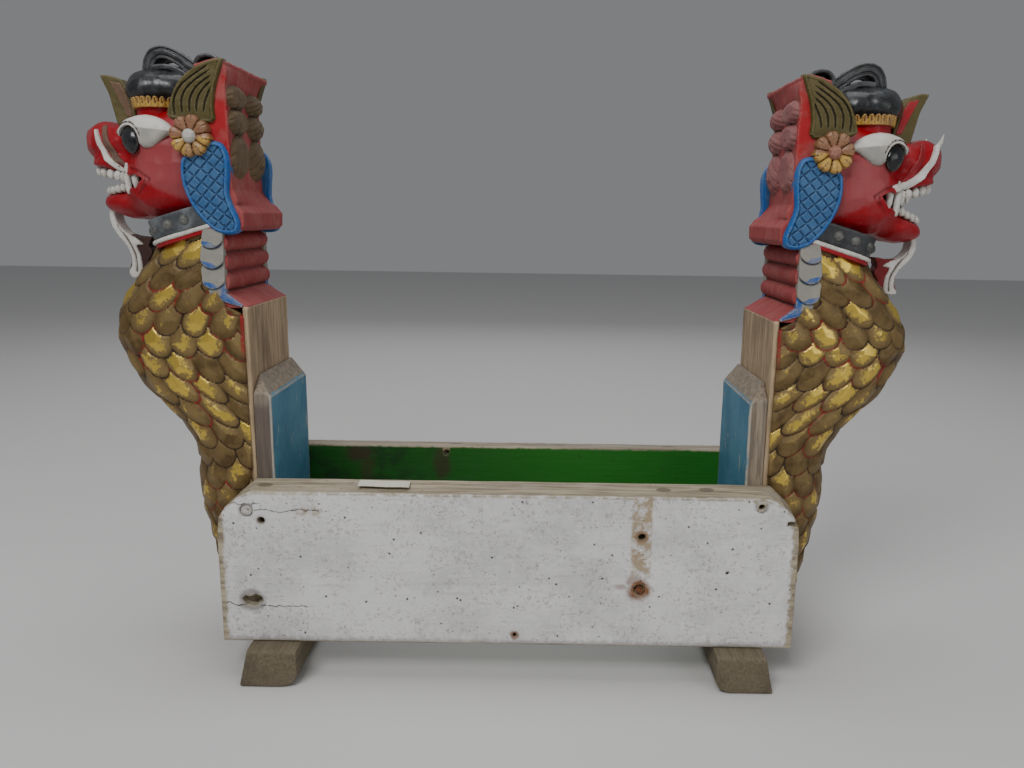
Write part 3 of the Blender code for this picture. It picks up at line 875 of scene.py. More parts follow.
def eye_white_field(p):
    """Brow and lid: an almond blunt in front and drawn down behind, folded along a ridge."""
    o, _, z = p
    flat = polygon(o, z, rounded(EYE_OUTLINE, 3))
    below = np.clip((543.0 + 0.1 * (o - 345.0) - z) / 16.0, 0.0, 1.0)
    behind = np.clip((360.0 - o) / 12.0, 0.0, 1.0)
    height = 1.0 + 5.4 * ease(-flat / 6.0) - 3.2 * below * behind
    pupil = pupil_gap(o, z)
    lid = smooth_max(on_head(p, flat, height), 1.0 - pupil, 0.8)
    line = np.maximum(np.abs(pupil - 4.0) - 0.45, 534.0 - z)
    return np.maximum(lid, -np.maximum(line, height - 1.6 - head_field(p)))


def eye_tint(o, y, z):
    """1 on the shaded lower facet behind the pupil."""
    return ease((541.5 + 0.1 * (o - 345.0) - z) / 3.0) * ease((362.0 - o) / 4.0)


def pupil_field(p):
    flat = pupil_gap(p[0], p[2])
    return on_head(p, flat, 2.0 + 4.6 * np.sqrt(np.clip(-flat / 11.0, 0.0, 1.0)))


WHISKER = {"left": ([(377, 501.5), (386, 505.5), (397, 514.5), (405.5, 528), (411.5, 541.5)],
                    (1.6, 2.6, 2.9, 2.8, 1.6)),
           "right": ([(370, 502.5), (386, 506.5), (400, 515.5), (412, 529), (418.5, 543)],
                     (3.8, 3.8, 3.7, 3.4, 2.8))}


def stripe_field(p, label):
    """Whisker band from the lip corner up over the muzzle; the right one ends in a free point."""
    path, widths = WHISKER[label]
    flat = stroke(p[0], p[2], path, widths)
    band = on_head(p, flat, 2.6)
    if label == "right":
        tip = tube((p[0], p[2], np.abs(p[1])), [(418, 541.5, 17.5), (422, 548.5, 18.5), (424, 556, 19)],
                   (3, 2.4, 0.7))
        band = smooth_min(band, tip, 1.5)
    return band


def stripe_shadow_field(p):
    """Brown groove band beside the whisker."""
    flat = stroke(p[0], p[2], [(379, 508), (389, 515), (398, 529), (404.5, 545)],
                  (1.4, 3, 3.2, 2.2))
    return on_head(p, flat, 0.7)


UPPER_TEETH = ((418, 503.5, 6), (414, 503, 14.5), (406, 501.5, 22), (397, 499.5, 28),
               (388, 498, 32.5), (380.5, 496.5, 36))
LOWER_TEETH = ((410, 483.5, 6), (406, 483.7, 13.5), (399.5, 484.3, 20), (392, 485.5, 25.5),
               (384.5, 486.8, 30), (377.5, 488, 34))


def teeth_field(p):
    o, y, z = p
    q = (o, np.abs(y), z)
    parts = [ellipsoid(q, (out, across, height), (4.4, 4.5, 5.6)) for out, height, across in UPPER_TEETH]
    parts += [ellipsoid(q, (out, across, height), (4, 4.1, 4.6)) for out, height, across in LOWER_TEETH]
    return union(parts)


def gums_field(p):
    """Red gums the teeth stand in."""
    o, y, z = p
    side = np.abs(y)
    upper = slab(polygon(o, z, [(415, 512), (416, 504.5), (372, 497), (366, 503)]),
                 side - (38.0 - 0.62 * np.maximum(o - 372.0, 0.0)), 2.0)
    lower = slab(polygon(o, z, [(408, 483), (372, 487), (368, 478), (404, 472)]),
                 side - (35.0 - 0.62 * np.maximum(o - 370.0, 0.0)), 2.0)
    return np.minimum(upper, lower)


def tusks_field(p):
    """A long blunt fang and a pointed tusk beside the mouth corner."""
    q = (p[0], p[2], np.abs(p[1]))
    fang = tube(q, [(377, 509, 37.5), (375.5, 498, 41), (374, 483, 41.5)], (1.4, 3.9, 3))
    tusk = tube(q, [(366.5, 499, 42.5), (365.5, 491, 45.5), (364, 478, 45)], (4.2, 3.3, 0.6))
    return np.minimum(fang, tusk)


# ---------------- dragon: crown

def oval(o, y, grow=0.0):
    """Distance to the crown's oval, in plan."""
    return (np.hypot((o - 348.0) / (26.5 + grow), y / (41.0 + grow)) - 1.0) * (30.0 + grow)


def crown_band_field(p):
    o, y, z = p
    return slab(oval(o, y, 0.0), np.abs(z - 557.5) - 10.0, 1.5)


def crest_field(p):
    """Gold band of small leaves round the foot of the cap."""
    o, y, z = p
    angle = np.arctan2(y / 41.0, (o - 348.0) / 26.5)
    rise = z - 562.5
    tooth = np.abs(np.sin(angle * 15.0))
    lean = oval(o, y, 1.4 + 0.16 * np.maximum(rise, 0.0))
    shell = np.abs(lean) - 1.3 - 0.6 * tooth
    vein = 0.9 * (tooth > 0.965) * (rise > 2.5)
    return np.maximum(shell + vein, np.maximum(rise - 2.5 - 7.0 * np.sqrt(tooth), -0.5 - rise))


def cap_field(p):
    dome = ellipsoid(p, (354.5, 0, 580.5), (31, 40, 23))
    back = ellipsoid(p, (334, 0, 581), (22, 36, 21))
    dome = smooth_min(dome, back, 6.0)
    return np.maximum(dome, 566.5 - p[2])


LOOP = [(361.5, 592), (359.5, 606), (354, 614.5), (344, 617), (331, 612),
        (318, 603), (303, 592)]
INNER_LOOP = [(352, 602), (338, 602.5), (324, 596), (308, 586)]


def loop_field(p):
    """Hair loop arching from the cap back to the mane, the strand below it, and a curl behind."""
    o, y, z = p
    side = np.abs(y)
    arch = stroke(o, z, rounded(LOOP, 4, False),
                  np.interp(np.arange(25), (0, 8, 16, 24), (5.4, 6.6, 6.4, 7)))
    solid = slab(arch, side - 14.5, 2.2)
    cut = np.minimum(np.abs(arch + 3.4), np.abs(side - 7.0)) - 0.8
    solid = np.maximum(solid, -np.maximum(cut, -1.3 - solid))
    strand = slab(stroke(o, z, rounded(INNER_LOOP, 4, False), [3.0] * 13), side - 18.0, 1.5)
    ring = np.hypot((o - 298.0) / 1.25, z - 604.0)
    curl = slab(np.maximum(ring - 11.5, 1.2 - np.abs(ring - 6.0)), side - 24.0, 2.0)
    return union((solid, strand, curl))


# ---------------- dragon: applied carvings

EAR = [(320, 549), (320.5, 563), (313, 580), (299, 593.5), (283, 601.5), (268, 604),
       (271, 593), (276, 578), (278.5, 562), (281.5, 546)]
EAR_VEINS = (((315, 553), (315, 566), (306, 581), (281, 598)),
             ((308, 555), (307.5, 568), (299.5, 580), (280, 593.5)),
             ((301, 556), (300, 567), (293.5, 578), (279.5, 588.5)),
             ((294.5, 556), (293.5, 566), (288.5, 575), (280, 583)),
             ((288, 556), (286.5, 564), (283.5, 571), (280.5, 577)))


def ear_field(p):
    o, y, z = p
    flat = polygon(o, z, rounded(EAR, 3))
    leaf = relief(p, flat, SIDE_Y - 2.0, 5.0, 4.0)
    hollow = np.clip((-flat - 2.2) / 1.6, 0.0, 1.0) * 1.3
    leaf = leaf + hollow * (np.abs(y) > SIDE_Y - 2.5)
    for vein in EAR_VEINS:
        line = stroke(o, z, rounded(list(vein), 3, False), [0.4] + [0.8] * 8 + [0.2])
        leaf = np.maximum(leaf, -np.maximum(line, SIDE_Y + 0.4 - np.abs(y)))
    return leaf


ROSETTE = (300.5, 533.5)


def petals_field(p):
    """Eight rounded petals, each folded along its middle and notched at its tip."""
    o, y, z = p
    du, dv = o - ROSETTE[0], z - ROSETTE[1]
    reach = np.hypot(du, dv)
    angle = np.arctan2(dv, du) + 0.2
    wave = np.abs(np.sin(4.0 * angle))
    ridge = np.abs(np.cos(4.0 * angle))
    edge = 16.2 + 3.6 * np.sqrt(wave) - 1.2 * np.clip(1.0 - 6.0 * ridge, 0.0, 1.0)
    flat = reach - edge
    side = np.abs(y)
    top = SIDE_Y + 4.5 + 3.8 * ease(-flat / 4.0) - 0.24 * np.maximum(13.0 - reach, 0.0) + 1.6 * wave
    cut = 1.8 * np.clip(1.0 - 4.5 * wave, 0.0, 1.0) * (reach > 6.0)
    cut = cut + 1.0 * np.clip(1.0 - 9.0 * ridge, 0.0, 1.0) * (reach > 11.0)
    return np.maximum(np.maximum(flat, side - top + cut), SIDE_Y - 8.0 - side)


def upper_tint(o, y, z):
    """1 on the upper petals."""
    return ease((z - ROSETTE[1] + 2.0) / 8.0)


def bead_field(p):
    return ellipsoid((p[0], np.abs(p[1]), p[2]), (ROSETTE[0], SIDE_Y + 7.5, ROSETTE[1]), (6.8, 5.4, 6.8))


FLAP = [(297, 524), (310.5, 515), (313.5, 504), (312.5, 490), (307, 474), (297.5, 459),
        (284.5, 446.5), (270.5, 443), (261.5, 446.5), (260, 456), (264.5, 468), (268.5, 482),
        (267, 499), (267, 516), (272.5, 527.5), (284, 530)]


def flap_outline(p):
    return polygon(p[0], p[2], rounded(FLAP, 3))


def flap_field(p):
    flat = flap_outline(p)
    plate = relief(p, flat, SIDE_Y - 1.0, 5.5, 3.5)
    inner = np.clip((-flat - 3.6) / 1.2, 0.0, 1.0)
    lattice = flap_lattice(p)
    sunk = 1.6 * inner + 1.0 * inner * lattice
    return plate + sunk * (np.abs(p[1]) > SIDE_Y - 1.5)


def flap_tint(o, y, z):
    """0 on the bright rim, 1 in the greyer middle."""
    return ease((-flap_outline((o, y, z)) - 4.0) / 2.0)


def flap_lattice(p):
    """1 on the incised lines of the flap, 0 between them."""
    o, _, z = p
    lines = np.zeros(np.broadcast(o, z).shape)
    for lean, pitch in ((math.radians(42.0), 8.6), (math.radians(-50.0), 9.4)):
        across = (o - 287.0) * math.cos(lean) + (z - 480.0) * math.sin(lean)
        gap = np.abs(np.mod(across, pitch) - pitch / 2)
        lines = np.maximum(lines, np.clip((1.25 - gap) / 0.8, 0.0, 1.0))
    return lines


BEARD_CURL = [(404, 470), (409, 463), (408, 452), (402, 441.5), (393.5, 431),
              (388.5, 419), (388, 408), (390.5, 402)]
BEARD_LEAF = [(404, 446), (395, 441), (384, 438.5), (371, 438), (374.5, 430),
              (371.5, 422), (376, 414), (375.5, 405), (383, 398.5), (391, 396.5),
              (397, 402), (394, 414), (396, 427)]


def beard_field(p):
    """White curl from the chin and the broad leaf it ends in."""
    o, y, z = p
    side = np.abs(y)
    curl = stroke(o, z, rounded(BEARD_CURL, 4, False),
                  np.interp(np.arange(29), (0, 8, 14, 20, 28), (2.6, 3.4, 4, 5, 6.4)))
    prong = stroke(o, z, rounded([(400, 441), (390, 434.5), (381, 431)], 4, False),
                   np.interp(np.arange(9), (0, 4, 8), (2, 4, 1.2)))
    flat = smooth_min(curl, prong, 3.0)
    groove = stroke(o, z, rounded([(404, 449), (394, 433), (388, 418), (388, 403)], 4, False),
                    [0.8] * 13)
    solid = slab(flat, side - 10.0, 1.8)
    return np.maximum(solid, -np.maximum(groove, 8.5 - side))


def beard_back_field(p):
    o, y, z = p
    flat = polygon(o, z, rounded(BEARD_LEAF, 3))
    return slab(flat, np.abs(y) - 8.4, 1.2)


def frontlet_field(p):
    """Folded leaf on the forehead: olive wings round a red hollow."""
    o, y, z = p
    flat = polygon(o, z, FRONTLET)
    grow = np.clip((z - 545.0) / 47.0, 0.0, 1.0)
    return slab(flat, np.abs(y - 2.0) - (15.0 - 5.0 * grow), 2.0)


FRONTLET = [(374, 545), (395, 547), (399, 562), (403, 577), (411.5, 595.5), (403, 596),
            (390, 592), (384, 583), (380, 570), (376, 557)]
FRONTLET_RED = [(379, 556), (385, 556), (392, 571), (401.5, 590), (391, 588),
                (386, 580), (382, 568)]


def frontlet_red_field(p):
    o, y, z = p
    flat = polygon(o, z, FRONTLET_RED)
    grow = np.clip((z - 545.0) / 47.0, 0.0, 1.0)
    return slab(flat, np.abs(y - 2.0) - (15.6 - 5.0 * grow), 0.8)


# ---------------- boards, cheeks, feet

CORNER_LEFT = ((257, 200.7), (274, 185), (287, 173), (290, 163), (290, 150))
CORNER_RIGHT = ((264, 200.7), (282, 183), (288, 174), (290, 163), (290, 150))
FACE_LEFT = ((252, 196.5), (266, 190.5), (278, 181), (285, 170), (287, 150))
FACE_RIGHT = ((256, 196.5), (271, 188.5), (281, 178), (285.5, 168), (287, 150))


def board_outline(left, right, end_left, end_right, low):
    """Board seen from the front: bottom left, up the left corner, across, down the right."""
    return [(-end_left, low), *[(-x, z) for x, z in reversed(left)], *right, (end_right, low)]


INNER_OUTLINE = board_outline(CORNER_LEFT, CORNER_RIGHT, 290.0, 290.0, BOARD_LOW.z)
OUTER_OUTLINE = board_outline(FACE_LEFT, FACE_RIGHT, 287.0, 287.0, BOARD_LOW.z)


def plank(p, face):
    """Board with ends and top edge falling back from its outer face."""
    x, y, z = p
    thick = (BOARD_HIGH.y - BOARD_LOW.y)
    middle = abs(BOARD_HIGH.y + BOARD_LOW.y) / 2
    t = np.clip((face * y - (middle - thick / 2)) / thick, 0.0, 1.0)
    flat = (1.0 - t) * polygon(x, z, INNER_OUTLINE) + t * polygon(x, z, OUTER_OUTLINE)
    return slab(flat, np.abs(face * y - middle) - thick / 2, 1.3)


def bore(p, x, z, radius, depth):
    """Hole from the front board's outer face inward."""
    return np.maximum(np.hypot(p[0] - x, p[2] - z) - radius, p[1] - (BOARD_LOW.y + depth))


RAGGED = [(-266.5, 85), (-263, 88.5), (-257, 87.5), (-252, 90.5), (-246, 87), (-245, 82),
          (-250, 80.5), (-253, 77.5), (-260, 79), (-264, 81)]


def front_board_field(p):
    x, y, z = p
    solid = plank(p, -1.0)
    cuts = [bore(p, 132.0, 156.0, 3.9, 60.0), bore(p, -243.0, 168.0, 3.6, 18.0),
            bore(p, 248.0, 189.0, 3.0, 14.0), bore(p, 7.0, 50.0, 2.0, 10.0),
            bore(p, 218.0, 120.0, 1.8, 6.0), bore(p, 131.0, 101.0, 5.4, 3.5),
            np.maximum(polygon(x, z, RAGGED), y - (BOARD_LOW.y + 13.0)),
            np.maximum(np.abs(z - 172.0 - 0.02 * (x - 280.0)) - 2.3, 274.5 - x)]
    for hole_x, hole_z, reach, wide in ((248, 189, 6, 0.8), (-257, 178, 5.6, 1.1)):
        ring = np.abs(np.hypot(x - hole_x, z - hole_z) - reach) - wide
        cuts.append(np.maximum(ring, y - (BOARD_LOW.y + 1.6)))
    for cut in cuts:
        solid = smooth_max(solid, -cut, 0.8)
    return solid


def rear_board_field(p):
    solid = plank(p, 1.0)
    x, y, z = p
    knot = np.hypot(x + 79.0, z - 193.0) - 3.0
    return smooth_max(solid, -np.maximum(knot, y - (REAR_LOW.y + 8.0)), 0.8)


def cheek_field(p):
    """Block on the post's inner face, in (out, y, z)."""
    o, y, z = p
    top = z - 303.5
    front = 0.72 * (z - 287.0) - 0.62 * (y - CHEEK_LOW.y)
    inner = (z - 284.0) * 0.62 - (o - CHEEK_LOW.x) * 0.78
    flat = np.maximum.reduce(np.broadcast_arrays(top, front, inner, CHEEK_LOW.x - o, o - CHEEK_HIGH.x))
    body = np.maximum(flat, np.maximum(np.abs(y) - CHEEK_HIGH.y, 40.0 - z))
    return body


FOOT_OUTLINE = [(209, 39.2), (257.5, 39.2), (266.5, 0.3), (222, 0.3), (212.5, 4.5), (208.5, 13)]


def label_field(p):
    """Blank paper label lying on the top edge of the front board."""
    x, y, z = p
    turned = x + 124.5 + 0.06 * (y + 81.0)
    flat = np.maximum(np.abs(turned) - 25.5, np.abs(y + 81.0 + 0.02 * (x + 124.5)) - 9.0)
    corner = 97.5 - turned + y
    surface = BOARD_HIGH.z + 0.4 + 0.3 * np.sin(turned * 0.09) ** 2 + 0.012 * np.maximum(corner, 0.0)
    return np.maximum(flat, np.abs(z - surface) - 0.35)


# Old dowel ends showing on the top edges: x, y
DOWELS = ((-243, -81), (154, -80), (197, -78), (-70, 84), (54, 84), (182, 84))


def top_dowels(p, face):
    """1 on the dowel ends in the top edge of one board."""
    ends = [p.oval(x, y, 8.0, 5.0) for x, y in DOWELS if y * face > 0]
    shown = ends[0]
    for end in ends[1:]:
        shown = p.either(shown, end)
    return shown


def foot_field(p):
    o, y, z = p
    flat = polygon(o, z, FOOT_OUTLINE)
    bevel = (np.abs(y) - FOOT_HIGH.y) * 0.8 + (z - FOOT_HIGH.z + 3.0) * 0.6
    return np.maximum(slab(flat, np.abs(y) - FOOT_HIGH.y, 2.2), bevel)


def white_board_paint():
    """Old white paint on the outer face, bare wood on the edges, stains round the ironwork."""
    p = Paint("white_board")
    x, y, z = p.axis("X"), p.axis("Y"), p.axis("Z")
    grain = p.noise(4.5, 5.0, 0.65, (0.06, 1, 1), 0.3)
    tone = p.noise(55.0, 5.0, 0.65, (0.6, 1, 1))
    fine = p.noise(1.6, 4, 0.75)
    blot = p.noise(9, 5, 0.7)
    wood = p.mix(p.span(grain, 0.35, 0.66), (0.21, 0.17, 0.115), (0.43, 0.375, 0.27))
    wood = p.mix(p.both(p.span(tone, 0.5, 0.7), 0.5), wood, (0.36, 0.335, 0.285))
    wood = p.mix(p.both(p.span(blot, 0.62, 0.7), 0.6), wood, (0.075, 0.055, 0.038))
    wood = p.mix(p.both(top_dowels(p, -1.0), 0.75), wood, (0.11, 0.085, 0.06))
    white = p.mix(p.span(tone, 0.35, 0.65), (0.56, 0.552, 0.545), (0.7, 0.69, 0.68))
    white = p.mix(p.both(p.span(blot, 0.5, 0.66), 0.55), white, (0.78, 0.77, 0.755))
    white = p.mix(p.both(p.span(grain, 0.56, 0.74), 0.45), white, (0.44, 0.425, 0.405))
    white = p.mix(p.both(p.span(fine, 0.58, 0.7), 0.4), white, (0.38, 0.36, 0.335))
    flaking = p.both(p.span(p.noise(3.4, 5, 0.8), 0.535, 0.6), p.span(p.noise(26, 3), 0.38, 0.56))
    white = p.mix(p.both(flaking, 0.6), white, (0.24, 0.22, 0.195))
    pits = p.span(p.cells(5.5), 0.19, 0.07)
    pits = p.both(pits, p.span(p.noise(20, 4, 0.7), 0.5, 0.6))
    white = p.mix(p.both(pits, 0.65), white, (0.11, 0.092, 0.078))
    specks = p.span(p.cells(16.0), 0.095, 0.055)
    white = p.mix(p.both(specks, 0.9), white, (0.025, 0.02, 0.017))
    chips = p.both(p.span(p.noise(5, 5, 0.75), 0.62, 0.67), p.span(p.noise(60, 2), 0.5, 0.64))
    white = p.mix(p.both(chips, 0.75), white, (0.12, 0.095, 0.075))
    low_edge = p.both(p.span(p.plus(z, p.times(blot, 0.012)), 0.054, 0.046), 0.65)
    white = p.mix(low_edge, white, (0.215, 0.19, 0.16))
    strip = p.span(p.calc("ABSOLUTE", p.minus(x, 0.1315)), 0.0115, 0.0085)
    strip = p.both(strip, p.span(p.plus(z, p.times(blot, 0.02)), 0.12, 0.135),
                   p.span(p.noise(9, 4, 0.7), 0.36, 0.56))
    white = p.mix(p.both(strip, 0.8), white, (0.29, 0.195, 0.075))
    rust = p.either(p.both(p.spot(131, 101, 7, 8, 9), 0.95), p.both(p.spot(132, 156, 4.5, 3.5, 5), 0.8),
                    p.both(p.spot(125, 109, 4, 8, 10), 0.55), p.both(p.spot(7, 50, 3, 3, 4), 0.8),
                    p.both(p.spot(112, 104, 2, 9, 9, 0.4), 0.5))
    white = p.mix(rust, white, p.mix(p.span(fine, 0.4, 0.65), (0.25, 0.09, 0.016), (0.085, 0.03, 0.012)))
    yellow = p.both(p.spot(-196, 178.5, 7, 11, 14, 0.45), 0.75, p.span(blot, 0.4, 0.6))
    white = p.mix(yellow, white, (0.25, 0.165, 0.06))
    ring = p.minus(1.0, p.spot(-257, 178, 4.6, 0.8, 2))
    plug = p.both(p.spot(-257, 178, 6, 1, 2), ring)
    white = p.mix(p.both(plug, 0.75), white, (0.08, 0.065, 0.052))
    # Painted shade in the broken hole and the two open holes, and a grime smudge round the plug.
    hole_shade_and_grime = p.either(p.both(p.spot(-257, 178, 5, 4, 5), 0.25), p.both(p.spot(-256, 84, 10, 5, 8), 0.6),
                     p.both(p.spot(248, 189, 4.5, 3, 3), 0.45), p.both(p.spot(-243, 168, 3, 3, 4), 0.6))
    white = p.mix(hole_shade_and_grime, white, (0.1, 0.08, 0.065))
    wander = p.times(p.minus(p.noise(22, 5, 0.7), 0.5), 0.016)
    crack = 0.0
    for height, start, end, width in ((0.1785, -0.25, -0.185, 0.0002), (0.079, -0.247, -0.2, 0.00022),
                                      (0.079, -0.284, -0.262, 0.00025), (0.185, -0.28, -0.245, 0.00018)):
        gap = p.calc("ABSOLUTE", p.minus(p.minus(z, height), wander))
        line = p.both(p.span(gap, 3.0 * width, 0.8 * width), p.span(x, start - 0.004, start + 0.004),
                      p.span(x, end + 0.006, end - 0.006))
        crack = p.either(crack, line) if crack else line
    white = p.mix(p.both(crack, 0.8), white, (0.06, 0.048, 0.038))
    worn_edge = p.plus(p.times(blot, 0.01), p.times(grain, 0.004))
    outer = p.span(p.minus(p.calc("ABSOLUTE", y), worn_edge), 0.0885, 0.0925)
    ridge = p.both(p.span(p.value("crease"), -0.08, -0.35), p.span(blot, 0.36, 0.55))
    inland = p.span(p.plus(p.calc("ABSOLUTE", x), p.times(blot, 0.014)), 0.2895, 0.2855)
    painted = p.both(outer, inland, p.minus(1.0, ridge))
    color = p.mix(painted, wood, white)
    # Painted shade: near black in the hollows and holes.
    hollow = p.span(p.value("crease"), 0.25, 0.7)
    color = p.mix(p.both(hollow, 0.85), color, (0.022, 0.016, 0.012))
    height = p.plus(p.times(grain, 0.7), p.times(fine, 0.3))
    height = p.plus(height, p.times(blot, 0.5))
    height = p.minus(height, p.times(crack, 1.5))
    height = p.minus(height, pits)
    return p.finish(color, p.plus(0.62, p.times(blot, 0.25)), p.bump(height, 0.8), specular=0.3)


def green_board_paint():
    """Green inside face, worn white outside, bare top edge."""
    p = Paint("green_board")
    x, y, z = p.axis("X"), p.axis("Y"), p.axis("Z")
    grain = p.noise(4.5, 5.0, 0.65, (0.06, 1, 1), 0.3)
    tone = p.noise(70.0, 4.0, 0.6, (0.5, 1, 1))
    fine = p.noise(1.6, 4, 0.75)
    blot = p.noise(9, 5, 0.7)
    wood = p.mix(p.span(grain, 0.35, 0.66), (0.18, 0.14, 0.095), (0.38, 0.32, 0.23))
    wood = p.mix(p.both(top_dowels(p, 1.0), 0.75), wood, (0.11, 0.085, 0.06))
    green = p.mix(p.span(x, -0.18, 0.12), (0.006, 0.075, 0.006), (0.016, 0.15, 0.012))
    green = p.mix(p.both(p.span(tone, 0.46, 0.66), 0.5), green, (0.012, 0.1, 0.02))
    green = p.mix(p.both(p.span(blot, 0.6, 0.72), 0.45), green, (0.01, 0.03, 0.008))
    green = p.mix(p.both(p.span(x, -0.06, -0.16), p.span(p.noise(30, 4, 0.65), 0.45, 0.62), 0.7), green,
                  (0.01, 0.028, 0.01))
    dark = p.either(p.both(p.spot(-180, 190, 6, 18, 18, 0.6), 0.9),
                    p.both(p.spot(-172, 176, 3, 10, 12, 2.2), 0.6),
                    p.both(p.spot(-84, 180, 5, 9, 10, 2), 0.75))
    green = p.mix(dark, green, (0.045, 0.032, 0.018))
    green = p.mix(p.spot(-79, 197.5, 2.5, 3, 2), green, (0.34, 0.26, 0.16))
    white = p.mix(p.span(tone, 0.35, 0.65), (0.56, 0.552, 0.545), (0.7, 0.69, 0.68))
    white = p.mix(p.both(p.span(grain, 0.56, 0.74), 0.5), white, (0.25, 0.235, 0.22))
    white = p.mix(p.both(p.span(blot, 0.62, 0.7), 0.75), white, (0.14, 0.11, 0.09))
    worn = p.times(blot, 0.006)
    inside = p.both(p.span(p.minus(y, worn), 0.0655, 0.0635), p.span(p.plus(z, worn), 0.2035, 0.201))
    outside = p.span(p.minus(y, p.times(blot, 0.01)), 0.09, 0.0935)
    color = p.mix(outside, p.mix(inside, wood, green), white)
    ridge = p.both(p.span(p.value("crease"), -0.08, -0.35), p.span(blot, 0.36, 0.55))
    color = p.mix(ridge, color, wood)
    height = p.plus(p.times(grain, 0.7), p.times(fine, 0.25))
    return p.finish(color, p.plus(0.42, p.times(blot, 0.25)), p.bump(height, 0.6), specular=0.35)


def cheek_paint():
    """Blue on the inner face, rubbed through at the edges; bare wood elsewhere."""
    p = Paint("cheek_blue")
    x = p.axis("X")
    reach = p.calc("ABSOLUTE", x)
    grain = p.noise(3.5, 5.0, 0.65, (1, 1, 0.06), 0.3)
    blot = p.noise(9.0, 5.0, 0.7, (1, 1, 0.5))
    fine = p.noise(1.5, 4, 0.75)
    tone = p.noise(45, 3, 0.6)
    wood = p.mix(p.span(grain, 0.35, 0.66), (0.15, 0.12, 0.088), (0.3, 0.245, 0.18))
    wood = p.mix(p.both(p.span(tone, 0.5, 0.7), 0.6), wood, (0.185, 0.165, 0.14))
    shade = p.both(p.span(x, 0.0, -0.01), p.span(p.axis("Z"), 0.282, 0.27), 0.75)
    wood = p.mix(shade, wood, (0.09, 0.07, 0.062))
    blue = p.mix(p.span(tone, 0.35, 0.65), (0.055, 0.185, 0.29), (0.085, 0.245, 0.35))
    blue = p.mix(p.both(p.span(grain, 0.58, 0.72), 0.5), blue, (0.11, 0.23, 0.29))
    blue = p.mix(p.both(p.span(fine, 0.62, 0.72), 0.6), blue, (0.2, 0.26, 0.27))
    scratches = p.both(p.span(p.noise(3.2, 4.0, 0.6, (1, 0.5, 0.12)), 0.655, 0.69), 0.85)
    blue = p.mix(scratches, blue, (0.42, 0.4, 0.36))
    blue = p.mix(p.both(p.span(p.noise(7, 4, 0.7), 0.655, 0.7), 0.8), blue, (0.03, 0.028, 0.026))
    ridge = p.both(p.span(p.value("crease"), -0.05, -0.25), p.span(blot, 0.3, 0.52))
    inner = p.span(p.plus(reach, p.times(p.minus(blot, 0.5), 0.004)), 0.2412, 0.24)
    color = p.mix(p.both(inner, p.minus(1.0, ridge)), wood, blue)
    color = p.mix(p.both(ridge, p.span(reach, 0.245, 0.24), 0.8), color, (0.46, 0.42, 0.35))
    height = p.plus(p.times(grain, 0.8), p.times(fine, 0.2))
    return p.finish(color, p.plus(0.55, p.times(blot, 0.25)), p.bump(height, 0.7), specular=0.3)


# ---------------- assembly

def add_piece(name, data, material, nodes, values=None, caps=()):
    verts, faces = data
    obj = make_object(name, verts, faces, material, values, caps)
    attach(obj, "root")
    if nodes:
        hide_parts(*nodes)
    return obj


def build_structure(looks):
    pad = Vector((3, 3, 3))
    for name, field, low, high, look, slot in (
            ("front_board_wood", front_board_field, BOARD_LOW, BOARD_HIGH, "white_board", "white_plank"),
            ("rear_board_wood", rear_board_field, REAR_LOW, REAR_HIGH, "green_board", "green_plank")):
        verts, faces, hollow = carve(field, low - pad, high + pad, 1.9, 0.25, 30.0, seed=4)
        node = name.replace("_wood", "")
        add_piece(name, (verts, faces), looks[look], [node], {"crease": hollow})
    low, high = Vector((-154, -94, BOARD_HIGH.z - 1)), Vector((-95, -68, BOARD_HIGH.z + 3))
    verts, faces, hollow = carve(label_field, low, high, 0.45)
    add_piece("paper_label", (verts, faces), looks["paper"], [], {"crease": hollow})
    for label, side in SIDES:
        seed = 3 if side < 0 else 8
        verts, faces, hollow = carve(cheek_field, CHEEK_LOW + Vector((-3, -3, 13)), CHEEK_HIGH + pad,
                                     1.6, 0.25, 22.0, seed=seed)
        add_piece(f"{label}_cheek_wood", on_side(verts, faces, side), looks["cheek"],
                  [f"{label}_cheek_block"], {"crease": hollow})
        verts, faces, hollow = carve(foot_field, FOOT_LOW - pad, FOOT_HIGH + pad, 1.8, 0.5, 18.0, seed=seed)
        add_piece(f"{label}_foot_wood", on_side(verts, faces, side), looks["foot"],
                  [f"{label}_foot_runner"], {"crease": hollow})


TIMBER = [(257.1, 40.2), (257.1, 373.6), (262.5, 373.6), (262.5, 40.2)]


def timber_field(p):
    """Plain back of the post between the cheek and the shoulder."""
    o, y, z = p
    return slab(polygon(o, z, TIMBER), np.abs(y) - SIDE_Y + 0.3, 0.8)


